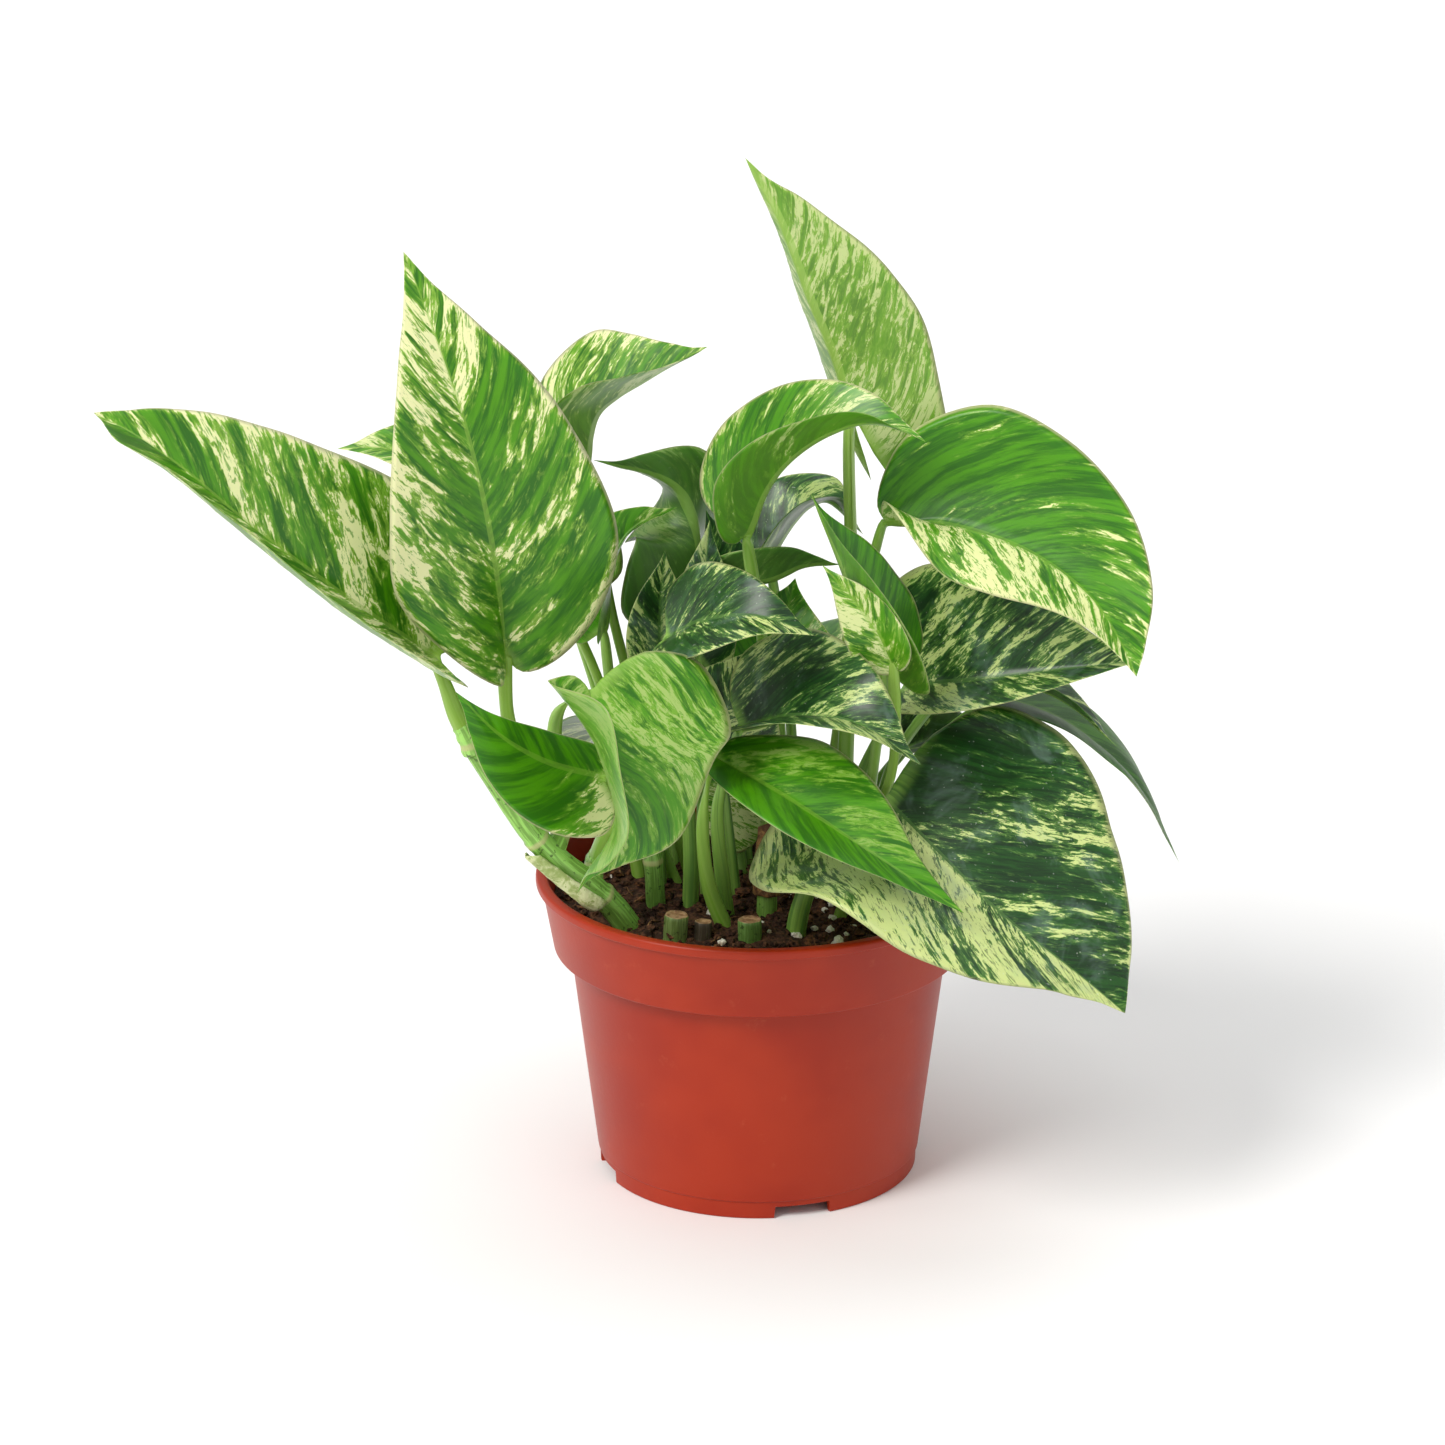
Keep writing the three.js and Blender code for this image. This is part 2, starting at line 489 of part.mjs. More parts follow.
const LEAVES = {
  leaf_far_left: {
    petiole: [[-69.3, -37.3, 124.2], [-74, -37, 134]],
    rides: VINE_AT,
    midrib: [[-78, -34, 144], [-96, -40, 159], [-119, -44, 179], [-141, -43, 198], [-156, -40, 206]],
    face: [[0.3, -0.8, 0.55], [0.2, -0.8, 0.8]],
    width: [30, 31], fold: [50, 8], curl: [26, 0], lobe: [0.02, 0.08], full: [2.4, 1.5], tone: CREAM_MARBLED, stalk: 1.15,
  },
  leaf_big_left: {
    petiole: [[-53.5, -27.6, 102.5], [-59, -26, 118], [-61, -25, 130]],
    rides: VINE_AT,
    midrib: [[-61, -25, 142], [-64, -30, 173], [-70, -29, 201], [-78, -23, 224], [-84, -18, 239]],
    face: [[0.05, -0.9, 0.3], [0.2, -0.95, 0.1]],
    width: 30, fold: [32, 6], curl: [-5, -10], roll: [60, 0], lobe: 0.06, full: 1.1, neck: [0.38, 0.3], tone: CREAM_MARBLED, stalk: 1.1,
  },
  leaf_left_behind: {
    petiole: [planted(-22, 9), [-36, 13.4, 110], [-48, 24, 140]],
    midrib: [[-60, 30, 159], [-76, 33, 169], [-90, 35, 174], [-104, 36, 174]],
    face: [[0.1, -0.5, 0.9], [0.1, -0.6, 0.8]],
    width: 15, fold: [25, 25], tone: SHADED, stalk: 0.8,
  },
  leaf_upper_middle: {
    petiole: [planted(-14, 11), [-30, 14, 115], [-40, 22, 150]],
    midrib: [[-43, 32, 170], [-40, 32, 184], [-28, 30, 193], [-12.5, 26, 203]],
    face: [[-0.5, 0.1, 0.6], [-0.2, -0.3, 0.9]],
    width: 22, fold: [45, 35], tone: CREAM_MARBLED, stalk: 0.9,
  },
  leaf_back_dull: {
    petiole: [planted(-8, 14), [-14, 19, 105]],
    midrib: [[-20, 22, 136], [-15, 30, 152], [-21, 33, 165], [-41, 33, 172]],
    face: [[-0.7, 0.4, 0.2], [0.1, 0.5, 0.8]],
    width: 20, fold: [30, 30], tone: SHADED, stalk: 0.85,
  },
  leaf_narrow_folded: {
    petiole: [planted(-17, 5), [-35.8, 9.7, 112]],
    midrib: [[-38, 14, 135], [-36, 20, 149], [-31, 24, 157], [-20, 26, 162]],
    face: [[-0.8, -0.5, 0.4], [-0.3, -0.5, 0.8]],
    width: 11, fold: [45, 45], tone: YOUNG, stalk: 0.8,
  },
  leaf_dark_upright: {
    petiole: [planted(-2, 17), [-6, 26, 105]],
    midrib: [[-9, 27, 134], [-10, 27, 148], [-13, 27, 161]],
    face: [[0.5, -0.8, 0.2], [0.4, -0.8, 0.3]],
    width: 10, fold: [25, 25], tone: OLD, stalk: 0.8,
  },
  leaf_upper_centre: {
    petiole: [planted(3, 3), [3, 1, 110], [0, -8, 144]],
    midrib: [[-3, -15, 168.5], [2.5, -19, 183], [14, -24, 194.5], [28, -29, 200], [39, -34, 197]],
    face: [[-0.7, -0.1, 0.6], [0.1, -0.2, 0.95]],
    width: [21, 20], fold: [36, 50], curl: [10, 0], lobe: 0.05, neck: [0, 0.45], tone: YOUNG, stalk: 0.95,
  },
  leaf_tall_right: {
    petiole: [planted(12, 9), [22, 4, 125], [22, 1, 160], [22, 1, 182]],
    midrib: [[22, 4, 193], [18, 5, 206], [11, 5, 223], [5, 6, 239], [-3.5, 8, 255]],
    face: [[0.1, 0.9, 0.2], [0.2, 0.95, 0.1]],
    width: 23.5, fold: [8, 50], curl: [0, 50], lobe: [0.42, 0.3], tone: CREAM_MARBLED, stalk: 1.1,
  },
  leaf_round_right: {
    petiole: [planted(20, 2), [22, -1, 120], [25, -4, 156]],
    midrib: [[31, -8, 169], [48, -14, 169.5], [67, -21, 164], [81, -29, 154], [89.5, -38, 140]],
    face: [[0, -0.5, 0.85], [0.5, -0.5, 0.7]],
    width: [31, 20], fold: [38, 0], curl: [20, 0], roll: [0, 150], lobe: [0.04, 0.02], full: [1.4, 1.2], neck: [0.34, 0.5], tone: YOUNG, stalk: 1.1,
  },
  leaf_dark_right: {
    petiole: [planted(20, -6), [23, -9, 98]],
    midrib: [[37, -4, 126], [50, -11, 129.5], [69, -17, 134], [92, -22, 138.5]],
    face: [[-0.1, -0.6, 0.8], [0, -0.6, 0.8]],
    width: [29, 13], fold: [35, 20], curl: [10, 0], lobe: 0.07, tone: OLD,
  },
  leaf_large_front_right: {
    petiole: [planted(8, -27), [12, -27, 84], [22, -27, 99]],
    midrib: [[31, -30, 105], [43, -44, 97], [58, -54, 85], [74, -60, 74], [87, -62, 63.5]],
    face: [[0.3, -0.7, 0.65], [0.6, -0.45, 0.5]],
    width: [46, 42], fold: [14, 14], curl: [-8, 0], roll: [0, -50], lobe: [0.12, 0.22], full: [2.3, 0.9], tone: OLD, stalk: 1.25,
  },
  leaf_edge_on_right: {
    petiole: [planted(24, 9), [34, 8, 104]],
    midrib: [[48, 5, 124], [62, 0, 126], [75, -6, 122], [87, -12, 113]],
    face: [[0.2, 0.1, 1], [0.6, 0.1, 0.7]],
    width: 13, fold: [20, 20], tone: OLD, stalk: 0.85,
  },
  leaf_drooping_right: {
    petiole: [planted(28, 16), [44, 20, 104]],
    midrib: [[60, 16, 116], [76, 8, 112], [93, -4, 99], [103, -10, 82]],
    face: [[0.2, 0, 1], [0.9, 0.1, 0.4]],
    width: 18, fold: [15, 15], curl: [-20, -20], tone: SHADED, stalk: 0.95,
  },
  leaf_dark_centre: {
    petiole: [planted(-7, -15), [-10, -20, 96], [-9, -24, 112]],
    midrib: [[-4, -27, 123.5], [10, -39, 130.5], [24, -49, 131.5], [38, -54, 123.5]],
    face: [[0, -0.35, 0.9], [0.2, -0.4, 0.9]],
    width: [23.5, 15], fold: [33, 24], full: [0.95, 1.15], tone: OLD,
  },
  leaf_dark_left: {
    petiole: [planted(-17, -10), [-17, -11, 95], [-21, -16, 125]],
    midrib: [[-22, -21, 144], [-13, -33, 152.5], [0, -41, 156], [13, -43, 152]],
    face: [[-0.2, -0.55, 0.8], [0.1, -0.6, 0.8]],
    width: [16, 17], fold: [20, 14], lobe: 0.06, tone: OLD,
  },
  leaf_shaded_centre: {
    petiole: [planted(6, 8), [6, 9, 100]],
    midrib: [[5, 9, 122], [6, 14, 134], [9, 19, 146]],
    face: [[0.1, -0.9, 0.3], [0.1, -0.9, 0.3]],
    width: 15, fold: [15, 15], curl: [10, 10], tone: YOUNG, stalk: 0.85,
  },
  leaf_small_tip: {
    petiole: [planted(-5, -4), [-10, -2, 108]],
    midrib: [[-14.5, 0.5, 132], [-13.5, 2, 149], [-12, 3, 166]],
    face: [[0.1, -0.95, 0.2], [0.1, -0.95, 0.2]],
    width: 9, fold: [20, 20], tone: OLD, stalk: 0.8,
  },
  leaf_underside_centre: {
    petiole: [planted(-3, 10), [-7, 20, 95], [-8, 17, 130]],
    midrib: [[-3, 8, 149], [4, 4, 151], [11, 3, 154], [20, 2, 155]],
    face: [[-0.3, 0.45, 0.9], [0, 0.45, 0.9]],
    width: 13, fold: [30, 30], tone: SHADED, stalk: 0.8,
  },
  leaf_shaded_back: {
    petiole: [planted(9, 20), [8, 26, 110]],
    midrib: [[3, 30, 149], [9, 32, 157], [16, 34, 161], [26, 35, 152]],
    face: [[-0.3, -0.1, 0.95], [0.3, -0.1, 0.95]],
    width: 12, fold: [40, 40], tone: SHADED, stalk: 0.8,
  },
  leaf_twisted: {
    petiole: [planted(21, -14), [26, -16, 96]],
    midrib: [[30, -20, 136], [25, -26, 149], [19, -28, 164.5], [12, -26, 182]],
    face: [[0.9, -0.15, 0.3], [0.9, -0.3, 0.4]],
    width: 15, fold: [52, 42], tone: YOUNG, stalk: 0.95,
  },
  leaf_pale_front: {
    petiole: [planted(17, -18), [27.8, -21, 98], [35, -29.2, 127]],
    midrib: [[31, -34, 143], [27.6, -35, 150.5], [22.3, -33, 157.8], [14.8, -29, 165]],
    face: [[-0.4, -0.9, 0.2], [-0.4, -0.9, 0.2]],
    width: [8, 7], fold: [16, 10], neck: 0.2, tone: CREAM_MARBLED, stalk: 0.8,
  },
  leaf_bright_front: {
    petiole: [planted(-5, -21), [-12.4, -24, 82], [-14, -28, 96], [-12, -32, 110]],
    midrib: [[-10, -40, 120], [5, -54, 116], [26, -65, 105.5], [48, -71, 92.5]],
    face: [[0.1, -0.5, 0.85], [0.4, -0.5, 0.75]],
    width: [20, 17], fold: [10, 22], lobe: 0.03, neck: [0.4, 0.5], tone: YOUNG,
  },
  leaf_round_front_left: {
    petiole: [[-48, -24.2, 95.5], [-49, -32.5, 112], [-47, -44, 137]],
    rides: VINE_AT,
    midrib: [[-40, -58, 142], [-37.5, -67, 131], [-34, -74, 117], [-43, -76, 99.5]],
    face: [[0.18, -0.85, 0.4], [0.4, -0.85, 0.1]],
    width: [33, 31], fold: [4, 72], curl: [-14, 20], roll: [0, -70], lobe: [0.2, 0.1], full: [0.72, 1], neck: [0, 0.36],
    tone: YOUNG,
  },
  leaf_pointed_front_left: {
    petiole: [[-40, -20, 86], [-36, -31, 100], [-32, -44, 113]],
    rides: VINE_AT,
    midrib: [[-38, -49, 119], [-50, -55, 124.5], [-61, -60, 133], [-71.5, -60, 144]],
    face: [[0.1, -0.85, 0.45], [0.1, -0.85, 0.45]],
    width: [16, 8], fold: [4, -15], tone: CREAM_MARBLED,
  },
  leaf_mottled_low: {
    petiole: [planted(3, 15), [3, 13, 78]],
    midrib: [[2, 12, 86], [-5, 13, 97], [-16, 14, 108]],
    face: [[0.1, -0.9, 0.4], [0.1, -0.9, 0.4]],
    width: 15, fold: [12, 12], tone: CREAM_MARBLED, stalk: 0.8,
  },
  leaf_dark_inner: {
    petiole: [planted(-12, -3), [-14, -3, 92]],
    midrib: [[-14, -5, 108], [-8, -7, 122], [0, -9, 138]],
    face: [[0.1, -0.9, 0.3], [0.1, -0.9, 0.3]],
    width: 18, fold: [14, 14], tone: OLD, stalk: 0.9,
  },
  leaf_mottled_inner: {
    petiole: [planted(-24, 2), [-25, 5, 105]],
    midrib: [[-24, 9, 128], [-24, 11, 142], [-23, 13, 155]],
    face: [[0.1, -0.95, 0.2], [0.1, -0.95, 0.2]],
    width: 9, fold: [15, 15], tone: OLD, stalk: 0.8,
  },
  leaf_back_left: {
    petiole: [planted(-20, 17), [-21, 24, 88]],
    midrib: [[-22, 33, 102], [-32, 44, 100], [-42, 56, 91], [-50, 66, 78]],
    face: [[-0.1, 0.3, 1], [-0.5, 0.5, 0.7]],
    width: 20, fold: [12, 12], tone: OLD,
  },
  leaf_back_middle: {
    petiole: [planted(-4, 26), [-2, 32, 98]],
    midrib: [[0, 42, 116], [0, 58, 117], [-3, 74, 106], [-7, 88, 88]],
    face: [[0, 0.2, 1], [-0.1, 0.7, 0.7]],
    width: 27, fold: [12, 12], tone: YOUNG,
  },
  leaf_back_right: {
    petiole: [planted(16, 25), [20, 30, 94]],
    midrib: [[26, 36, 112], [38, 47, 113], [50, 59, 104], [61, 70, 86]],
    face: [[0, 0.2, 1], [0.5, 0.5, 0.7]],
    width: 23, fold: [14, 14], tone: CREAM_MARBLED,
  },
  leaf_back_upper_left: {
    petiole: [planted(-28, 11), [-38, 18, 110]],
    midrib: [[-50, 30, 142], [-58, 39, 158], [-65, 47, 172], [-70, 52, 184]],
    face: [[-0.3, 0.8, 0.5], [-0.3, 0.8, 0.3]],
    width: 19, fold: [12, 12], tone: YOUNG, stalk: 0.9,
  },
  leaf_back_low_right: {
    petiole: [planted(20, 32), [28, 36, 83]],
    midrib: [[38, 38, 95], [50, 46, 96], [61, 54, 89], [70, 60, 76]],
    face: [[0, 0.1, 1], [0.6, 0.2, 0.7]],
    width: 19, fold: [12, 12], tone: OLD,
  },
};

const STEMS = {
  vine_left: { path: VINE, radii: [3.1, 3.3, 2.9, 2.5], sides: 12, rides: VINE_AT },
  stem_node_left: { path: [planted(-25, -7), [-26, -8, 82], [-28, -7, 98]], radii: [2.5, 2.2] },
  stem_sheathed: { path: [planted(2, -16), [2, -15, 78], [3, -12, 92]], radii: [2.7, 2.2] },
  stub_front_left: { path: [planted(-21, -31), [-20, -31, 76.5]], radii: [3, 2.9] },
  stub_front_middle: { path: [planted(-2, -32), [-2.3, -31.6, 75.5]], radii: [3, 2.9] },
  stub_front_dark: { path: [planted(-14, -30), [-13.5, -29, 74]], radii: [2.4, 2.1] },
  stub_back: { path: [planted(14, -3), [14.5, -3, 80]], radii: [2.6, 2.3] },
};

const GRAINS = {
  perlite_left: { at: [-37, -9], size: 2.6, turn: 0.4 },
  perlite_middle: { at: [-9, -36], size: 1.6, turn: 2.0 },
  perlite_right: { at: [19, -36], size: 2.1, turn: 1.2 },
  perlite_back: { at: [-6, 40], size: 2.3, turn: 2.9 },
};

// ---- Putting it together ------------------------------------------------------------------
const plant = new THREE.Group();
plant.name = "potted_pothos";

function add(name, geometry, color, roughness = 0.5) {
  const material = new THREE.MeshStandardMaterial({ color, roughness, metalness: 0 });
  const mesh = new THREE.Mesh(geometry, material);
  mesh.name = name;
  plant.add(mesh);
}

const stemPath = (stem) => moved(stem.path, stem.rides ?? stem.path[0]);
const rooms = [];
for (const leaf of Object.values(LEAVES)) {
  if (leaf.petiole[0].planted) rooms.push(petioleRoom(movedLeaf(leaf)));
}
for (const stem of Object.values(STEMS)) {
  rooms.push(stemGeometry(stemPath(stem), stem.radii, 12, STEM_TIP, SOCKET_GAP));
}

add("pot", potGeometry(), TERRACOTTA, 0.42);
const bed = soilBody(rooms);
add("soil", fromSolid(bed), SOIL_BROWN, 0.95);
for (const [name, leaf] of Object.entries(LEAVES)) add(name, leafGeometry(movedLeaf(leaf)), leaf.tone, 0.4);
for (const [name, stem] of Object.entries(STEMS)) {
  const color = name.startsWith("stub") ? CUT_BROWN : STEM_GREEN;
  add(name, stemGeometry(stemPath(stem), stem.radii, stem.sides ?? 8, STEM_TIP), color, 0.5);
}
for (const [name, grain] of Object.entries(GRAINS)) {
  add(name, grainGeometry(bed, grain.at, grain.size, grain.turn), PERLITE_WHITE, 0.9);
}
const alongVine = moved([[-38.5, -25, 79], [-46, -28.4, 87], [-53, -31.6, 95]], VINE_AT);
add("sheath_left", sheathGeometry(alongVine, [3.9, 4.2], 150, [-0.5, -0.5, -0.6]), PALE_SHEATH, 0.7);
const alongStem = moved([[2, -15.6, 76], [2.4, -14, 84], [3, -11.5, 92]], STEMS.stem_sheathed.path[0]);
add("sheath_brown", sheathGeometry(alongStem, [3.0, 3.1], 200, [0.1, -1, 0.1]), CUT_BROWN, 0.8);

const whole = new THREE.Box3().setFromObject(plant);
const middle = whole.getCenter(new THREE.Vector3());
plant.children.forEach((mesh) => mesh.geometry.translate(-middle.x, -middle.y, -whole.min.z));

export default plant;
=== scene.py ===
"""A marble-leaved pothos in a terracotta-coloured nursery pot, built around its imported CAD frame.

Every leaf, stem and sheath is a finer surface drawn through the rings of its own CAD node. The pot and
the potting mix take their place and overall size from the same frame, and their details from the sizes
named below. Lengths are in metres; MM turns millimetres into them.
"""
import json
import math
import random

import bmesh
import bpy
import numpy as np
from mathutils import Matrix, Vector, noise


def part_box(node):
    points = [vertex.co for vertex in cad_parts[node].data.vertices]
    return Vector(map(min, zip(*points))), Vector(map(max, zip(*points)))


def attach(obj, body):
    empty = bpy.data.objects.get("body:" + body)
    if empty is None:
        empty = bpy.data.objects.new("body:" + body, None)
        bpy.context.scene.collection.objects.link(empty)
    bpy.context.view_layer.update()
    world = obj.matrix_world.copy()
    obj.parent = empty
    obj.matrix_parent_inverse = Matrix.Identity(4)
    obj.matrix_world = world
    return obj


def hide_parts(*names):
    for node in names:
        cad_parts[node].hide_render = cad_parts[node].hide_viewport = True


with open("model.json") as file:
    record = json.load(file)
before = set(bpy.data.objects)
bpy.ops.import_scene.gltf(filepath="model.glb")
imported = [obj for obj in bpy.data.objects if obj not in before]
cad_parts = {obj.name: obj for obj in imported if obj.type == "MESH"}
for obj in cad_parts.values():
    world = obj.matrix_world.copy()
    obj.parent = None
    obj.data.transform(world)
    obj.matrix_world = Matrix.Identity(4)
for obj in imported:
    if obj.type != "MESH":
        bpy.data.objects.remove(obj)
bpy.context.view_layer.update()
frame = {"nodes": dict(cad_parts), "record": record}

MM = 0.001
BODY = "root"

# ---- Places, from the frame -----------------------------------------------------------------
pot_low, pot_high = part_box("pot")
AXIS = Vector(((pot_low.x + pot_high.x) / 2, (pot_low.y + pot_high.y) / 2, 0))
RIM_RADIUS = (pot_high.x - pot_low.x) / 2
POT_HEIGHT = pot_high.z - pot_low.z
SOIL_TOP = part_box("soil")[1].z
LEAF_NODES = sorted(n for n in frame["nodes"] if n.startswith("leaf_"))

# ---- Stage and camera -----------------------------------------------------------------------
VIEW_TARGET = Vector((-8.9, 0.0, 115.0)) * MM  # from the pot's axis
VIEW_DISTANCE = 1537 * MM
VIEW_ELEVATION = math.radians(19.5)
VIEW_LENS = 156.5
FLOOR_SIZE = 6.0
DAYLIGHT = 0.5  # strength of the even white surroundings


def make_camera():
    data = bpy.data.cameras.new("camera")
    data.lens = VIEW_LENS
    data.sensor_width = 36
    data.clip_start = 0.05
    camera = bpy.data.objects.new("camera", data)
    bpy.context.scene.collection.objects.link(camera)
    back = Vector((0, -math.cos(VIEW_ELEVATION), math.sin(VIEW_ELEVATION)))
    camera.location = AXIS + VIEW_TARGET + back * VIEW_DISTANCE
    camera.rotation_mode = "QUATERNION"
    camera.rotation_quaternion = (-back).to_track_quat("-Z", "Y")
    bpy.context.scene.camera = camera


def soft_light(name, source, power, spread, colour=(1, 1, 1)):
    """An even light from far off, as wide as spread degrees seen from the plant."""
    data = bpy.data.lights.new(name, "SUN")
    data.angle = math.radians(spread)
    data.energy = power
    data.color = colour
    lamp = bpy.data.objects.new(name, data)
    bpy.context.scene.collection.objects.link(lamp)
    lamp.location = AXIS + Vector(source)
    lamp.rotation_mode = "QUATERNION"
    lamp.rotation_quaternion = (-Vector(source)).to_track_quat("-Z", "Y")


def make_stage():
    scene = bpy.context.scene
    scene.view_settings.view_transform = "Standard"
    world = bpy.data.worlds.new("studio")
    scene.world = world
    world.use_nodes = True
    background = world.node_tree.nodes["Background"]
    background.inputs["Color"].default_value = (1, 1, 1, 1)
    background.inputs["Strength"].default_value = DAYLIGHT
    soft_light("key", (-1.0, -0.95, 1.3), 2.3, 26, (1.0, 0.98, 0.95))
    soft_light("fill", (1.3, -1.3, 0.8), 0.4, 60)
    soft_light("top", (0.1, 0.5, 1.6), 0.8, 60)
    mesh = bpy.data.meshes.new("floor")
    half = FLOOR_SIZE / 2
    corners = [(-half, -half, 0), (half, -half, 0), (half, half, 0), (-half, half, 0)]
    mesh.from_pydata(corners, [], [(0, 1, 2, 3)])
    floor = bpy.data.objects.new("floor", mesh)
    scene.collection.objects.link(floor)
    pale = bpy.data.materials.new("pale_floor")
    pale.use_nodes = True
    shader = pale.node_tree.nodes["Principled BSDF"]
    shader.inputs["Base Color"].default_value = (0.93, 0.93, 0.93, 1)
    shader.inputs["Roughness"].default_value = 0.9
    floor.data.materials.append(pale)


# ---- Node trees -----------------------------------------------------------------------------
def rgb(*values):
    """A colour given as 0 to 255 on a screen, as the linear numbers that a shader takes."""
    linear = []
    for value in values:
        share = value / 255
        linear.append(share / 12.92 if share <= 0.04045 else ((share + 0.055) / 1.055) ** 2.4)
    return (*linear, 1.0)


class Finish:
    """A material's node tree, with short calls for the nodes that the materials here share."""

    def __init__(self, name, roughness, specular=0.5):
        self.material = bpy.data.materials.new(name)
        self.material.use_nodes = True
        self.tree = self.material.node_tree
        self.shader = self.tree.nodes["Principled BSDF"]
        self.set("Roughness", roughness)
        self.set("Specular IOR Level", specular)

    def set(self, name, value):
        if isinstance(value, bpy.types.NodeSocket):
            self.tree.links.new(value, self.shader.inputs[name])
        else:
            self.shader.inputs[name].default_value = value

    def node(self, kind, inputs=(), **settings):
        made = self.tree.nodes.new(kind)
        for name, value in settings.items():
            setattr(made, name, value)
        for place, value in enumerate(inputs):
            self.feed(made.inputs[place], value)
        return made

    def feed(self, socket, value):
        if isinstance(value, bpy.types.NodeSocket):
            self.tree.links.new(value, socket)
        elif value is not None:
            socket.default_value = value

    def attribute(self, name):
        parts = self.node("ShaderNodeSeparateXYZ")
        source = self.node("ShaderNodeAttribute", attribute_name=name)
        self.tree.links.new(source.outputs["Vector"], parts.inputs[0])
        return parts.outputs

    def object_place(self):
        return self.node("ShaderNodeTexCoord").outputs["Object"]

    def maths(self, operation, *values):
        return self.node("ShaderNodeMath", values, operation=operation).outputs[0]

    def vector(self, x, y, z):
        return self.node("ShaderNodeCombineXYZ", (x, y, z)).outputs[0]

    def noise(self, place, scale, detail=3.0, roughness=0.55, distortion=0.0):
        made = self.node("ShaderNodeTexNoise")
        self.feed(made.inputs["Vector"], place)
        made.inputs["Scale"].default_value = scale
        made.inputs["Detail"].default_value = detail
        made.inputs["Roughness"].default_value = roughness
        made.inputs["Distortion"].default_value = distortion
        return made.outputs["Fac"]

    def cells(self, place, scale):
        made = self.node("ShaderNodeTexVoronoi", feature="F1")
        self.feed(made.inputs["Vector"], place)
        made.inputs["Scale"].default_value = scale
        return made.outputs["Distance"]

    def between(self, value, low, high):
        """0 below low, 1 above high and a smooth step in between; low may be above high."""
        made = self.node("ShaderNodeMapRange")
        made.interpolation_type = "SMOOTHSTEP"
        made.clamp = True
        self.feed(made.inputs["Value"], value)
        made.inputs["From Min"].default_value = low
        made.inputs["From Max"].default_value = high
        return made.outputs["Result"]

    def mix(self, share, first, second):
        made = self.node("ShaderNodeMix", data_type="RGBA")
        self.feed(made.inputs[0], share)
        self.feed(made.inputs[6], first)
        self.feed(made.inputs[7], second)
        return made.outputs[2]

    def bump(self, height, distance, strength):
        made = self.node("ShaderNodeBump")
        made.inputs["Strength"].default_value = strength
        made.inputs["Distance"].default_value = distance
        self.feed(made.inputs["Height"], height)
        self.tree.links.new(made.outputs["Normal"], self.shader.inputs["Normal"])


# ---- Surfaces through CAD rings -------------------------------------------------------------
MERGE_DISTANCE = 0.003 * MM  # joins a CAD mesh's split corners and nothing else
PLANTED_AT = 0.85  # height, as a share of the mix's top, that a node's root end is nearest to


def rings_of(node):
    """A lofted node's rings from root to tip, and its two end points.

    The rings are an array of (ring, place round it, xyz).
    Every quad of a loft is cut towards the ring's first column on one half and away from it on the
    other, so that column is the one whose points have the most neighbours in the next ring.
    """
    shape = bmesh.new()
    shape.from_mesh(frame["nodes"][node].data)
    bmesh.ops.remove_doubles(shape, verts=shape.verts, dist=MERGE_DISTANCE)
    shape.verts.ensure_lookup_table()
    near = [{e.other_vert(v).index for e in v.link_edges} for v in shape.verts]
    poles = sorted(shape.verts, key=lambda v: -len(v.link_edges))[:2]
    planted = AXIS + Vector((0, 0, SOIL_TOP * PLANTED_AT))
    root, tip = sorted(poles, key=lambda v: (v.co - planted).length)
    after = {}
    level = {root.index: -1}
    order = [sorted(near[root.index])]
    for i in order[0]:
        level[i] = 0
    while tip.index not in near[order[-1][0]]:
        following = sorted({j for i in order[-1] for j in near[i]} - set(level))
        for i in following:
            level[i] = len(order)
        order.append(following)
    level[tip.index] = len(order)
    for face in shape.faces:
        corners = [v.index for v in face.verts]
        for turn in range(3):
            a, b, c = corners[turn:] + corners[:turn]
            if level[a] == level[b] == level[c] - 1:
                after[a] = b
    rings = []
    for number, members in enumerate(order):
        lead = {}
        for i in members:
            further = sum(level[j] == number + 1 for j in near[i])
            back = sum(level[j] == number - 1 for j in near[i])
            lead[i] = further - back
        place = max(members, key=lead.get)
        ring = []
        for _ in members:
            ring.append(shape.verts[place].co.copy())
            place = after[place]
        rings.append(ring)
    ends = shape.verts[root.index].co.copy(), shape.verts[tip.index].co.copy()
    shape.free()
    return np.array(rings, float), np.array(ends, float)


def hermite(points, counts):
    """A smooth line through points (first axis), with counts[i] steps between points i and i + 1."""
    gaps = np.maximum(np.linalg.norm(np.diff(points, axis=0), axis=-1, keepdims=True), 1e-7) ** 0.5
    speeds = np.diff(points, axis=0) / gaps
    slopes = np.empty_like(points)
    slopes[1:-1] = (gaps[1:] * speeds[:-1] + gaps[:-1] * speeds[1:]) / (gaps[1:] + gaps[:-1])
    slopes[0] = speeds[0]
    slopes[-1] = speeds[-1]
    rows = []
    for i, count in enumerate(counts):
        for step in range(count):
            s = step / count
            rows.append(
                (2 * s**3 - 3 * s**2 + 1) * points[i]
                + (s**3 - 2 * s**2 + s) * gaps[i] * slopes[i]
                + (3 * s**2 - 2 * s**3) * points[i + 1]
                + (s**3 - s**2) * gaps[i] * slopes[i + 1]
            )
    rows.append(points[-1])
    return np.array(rows)


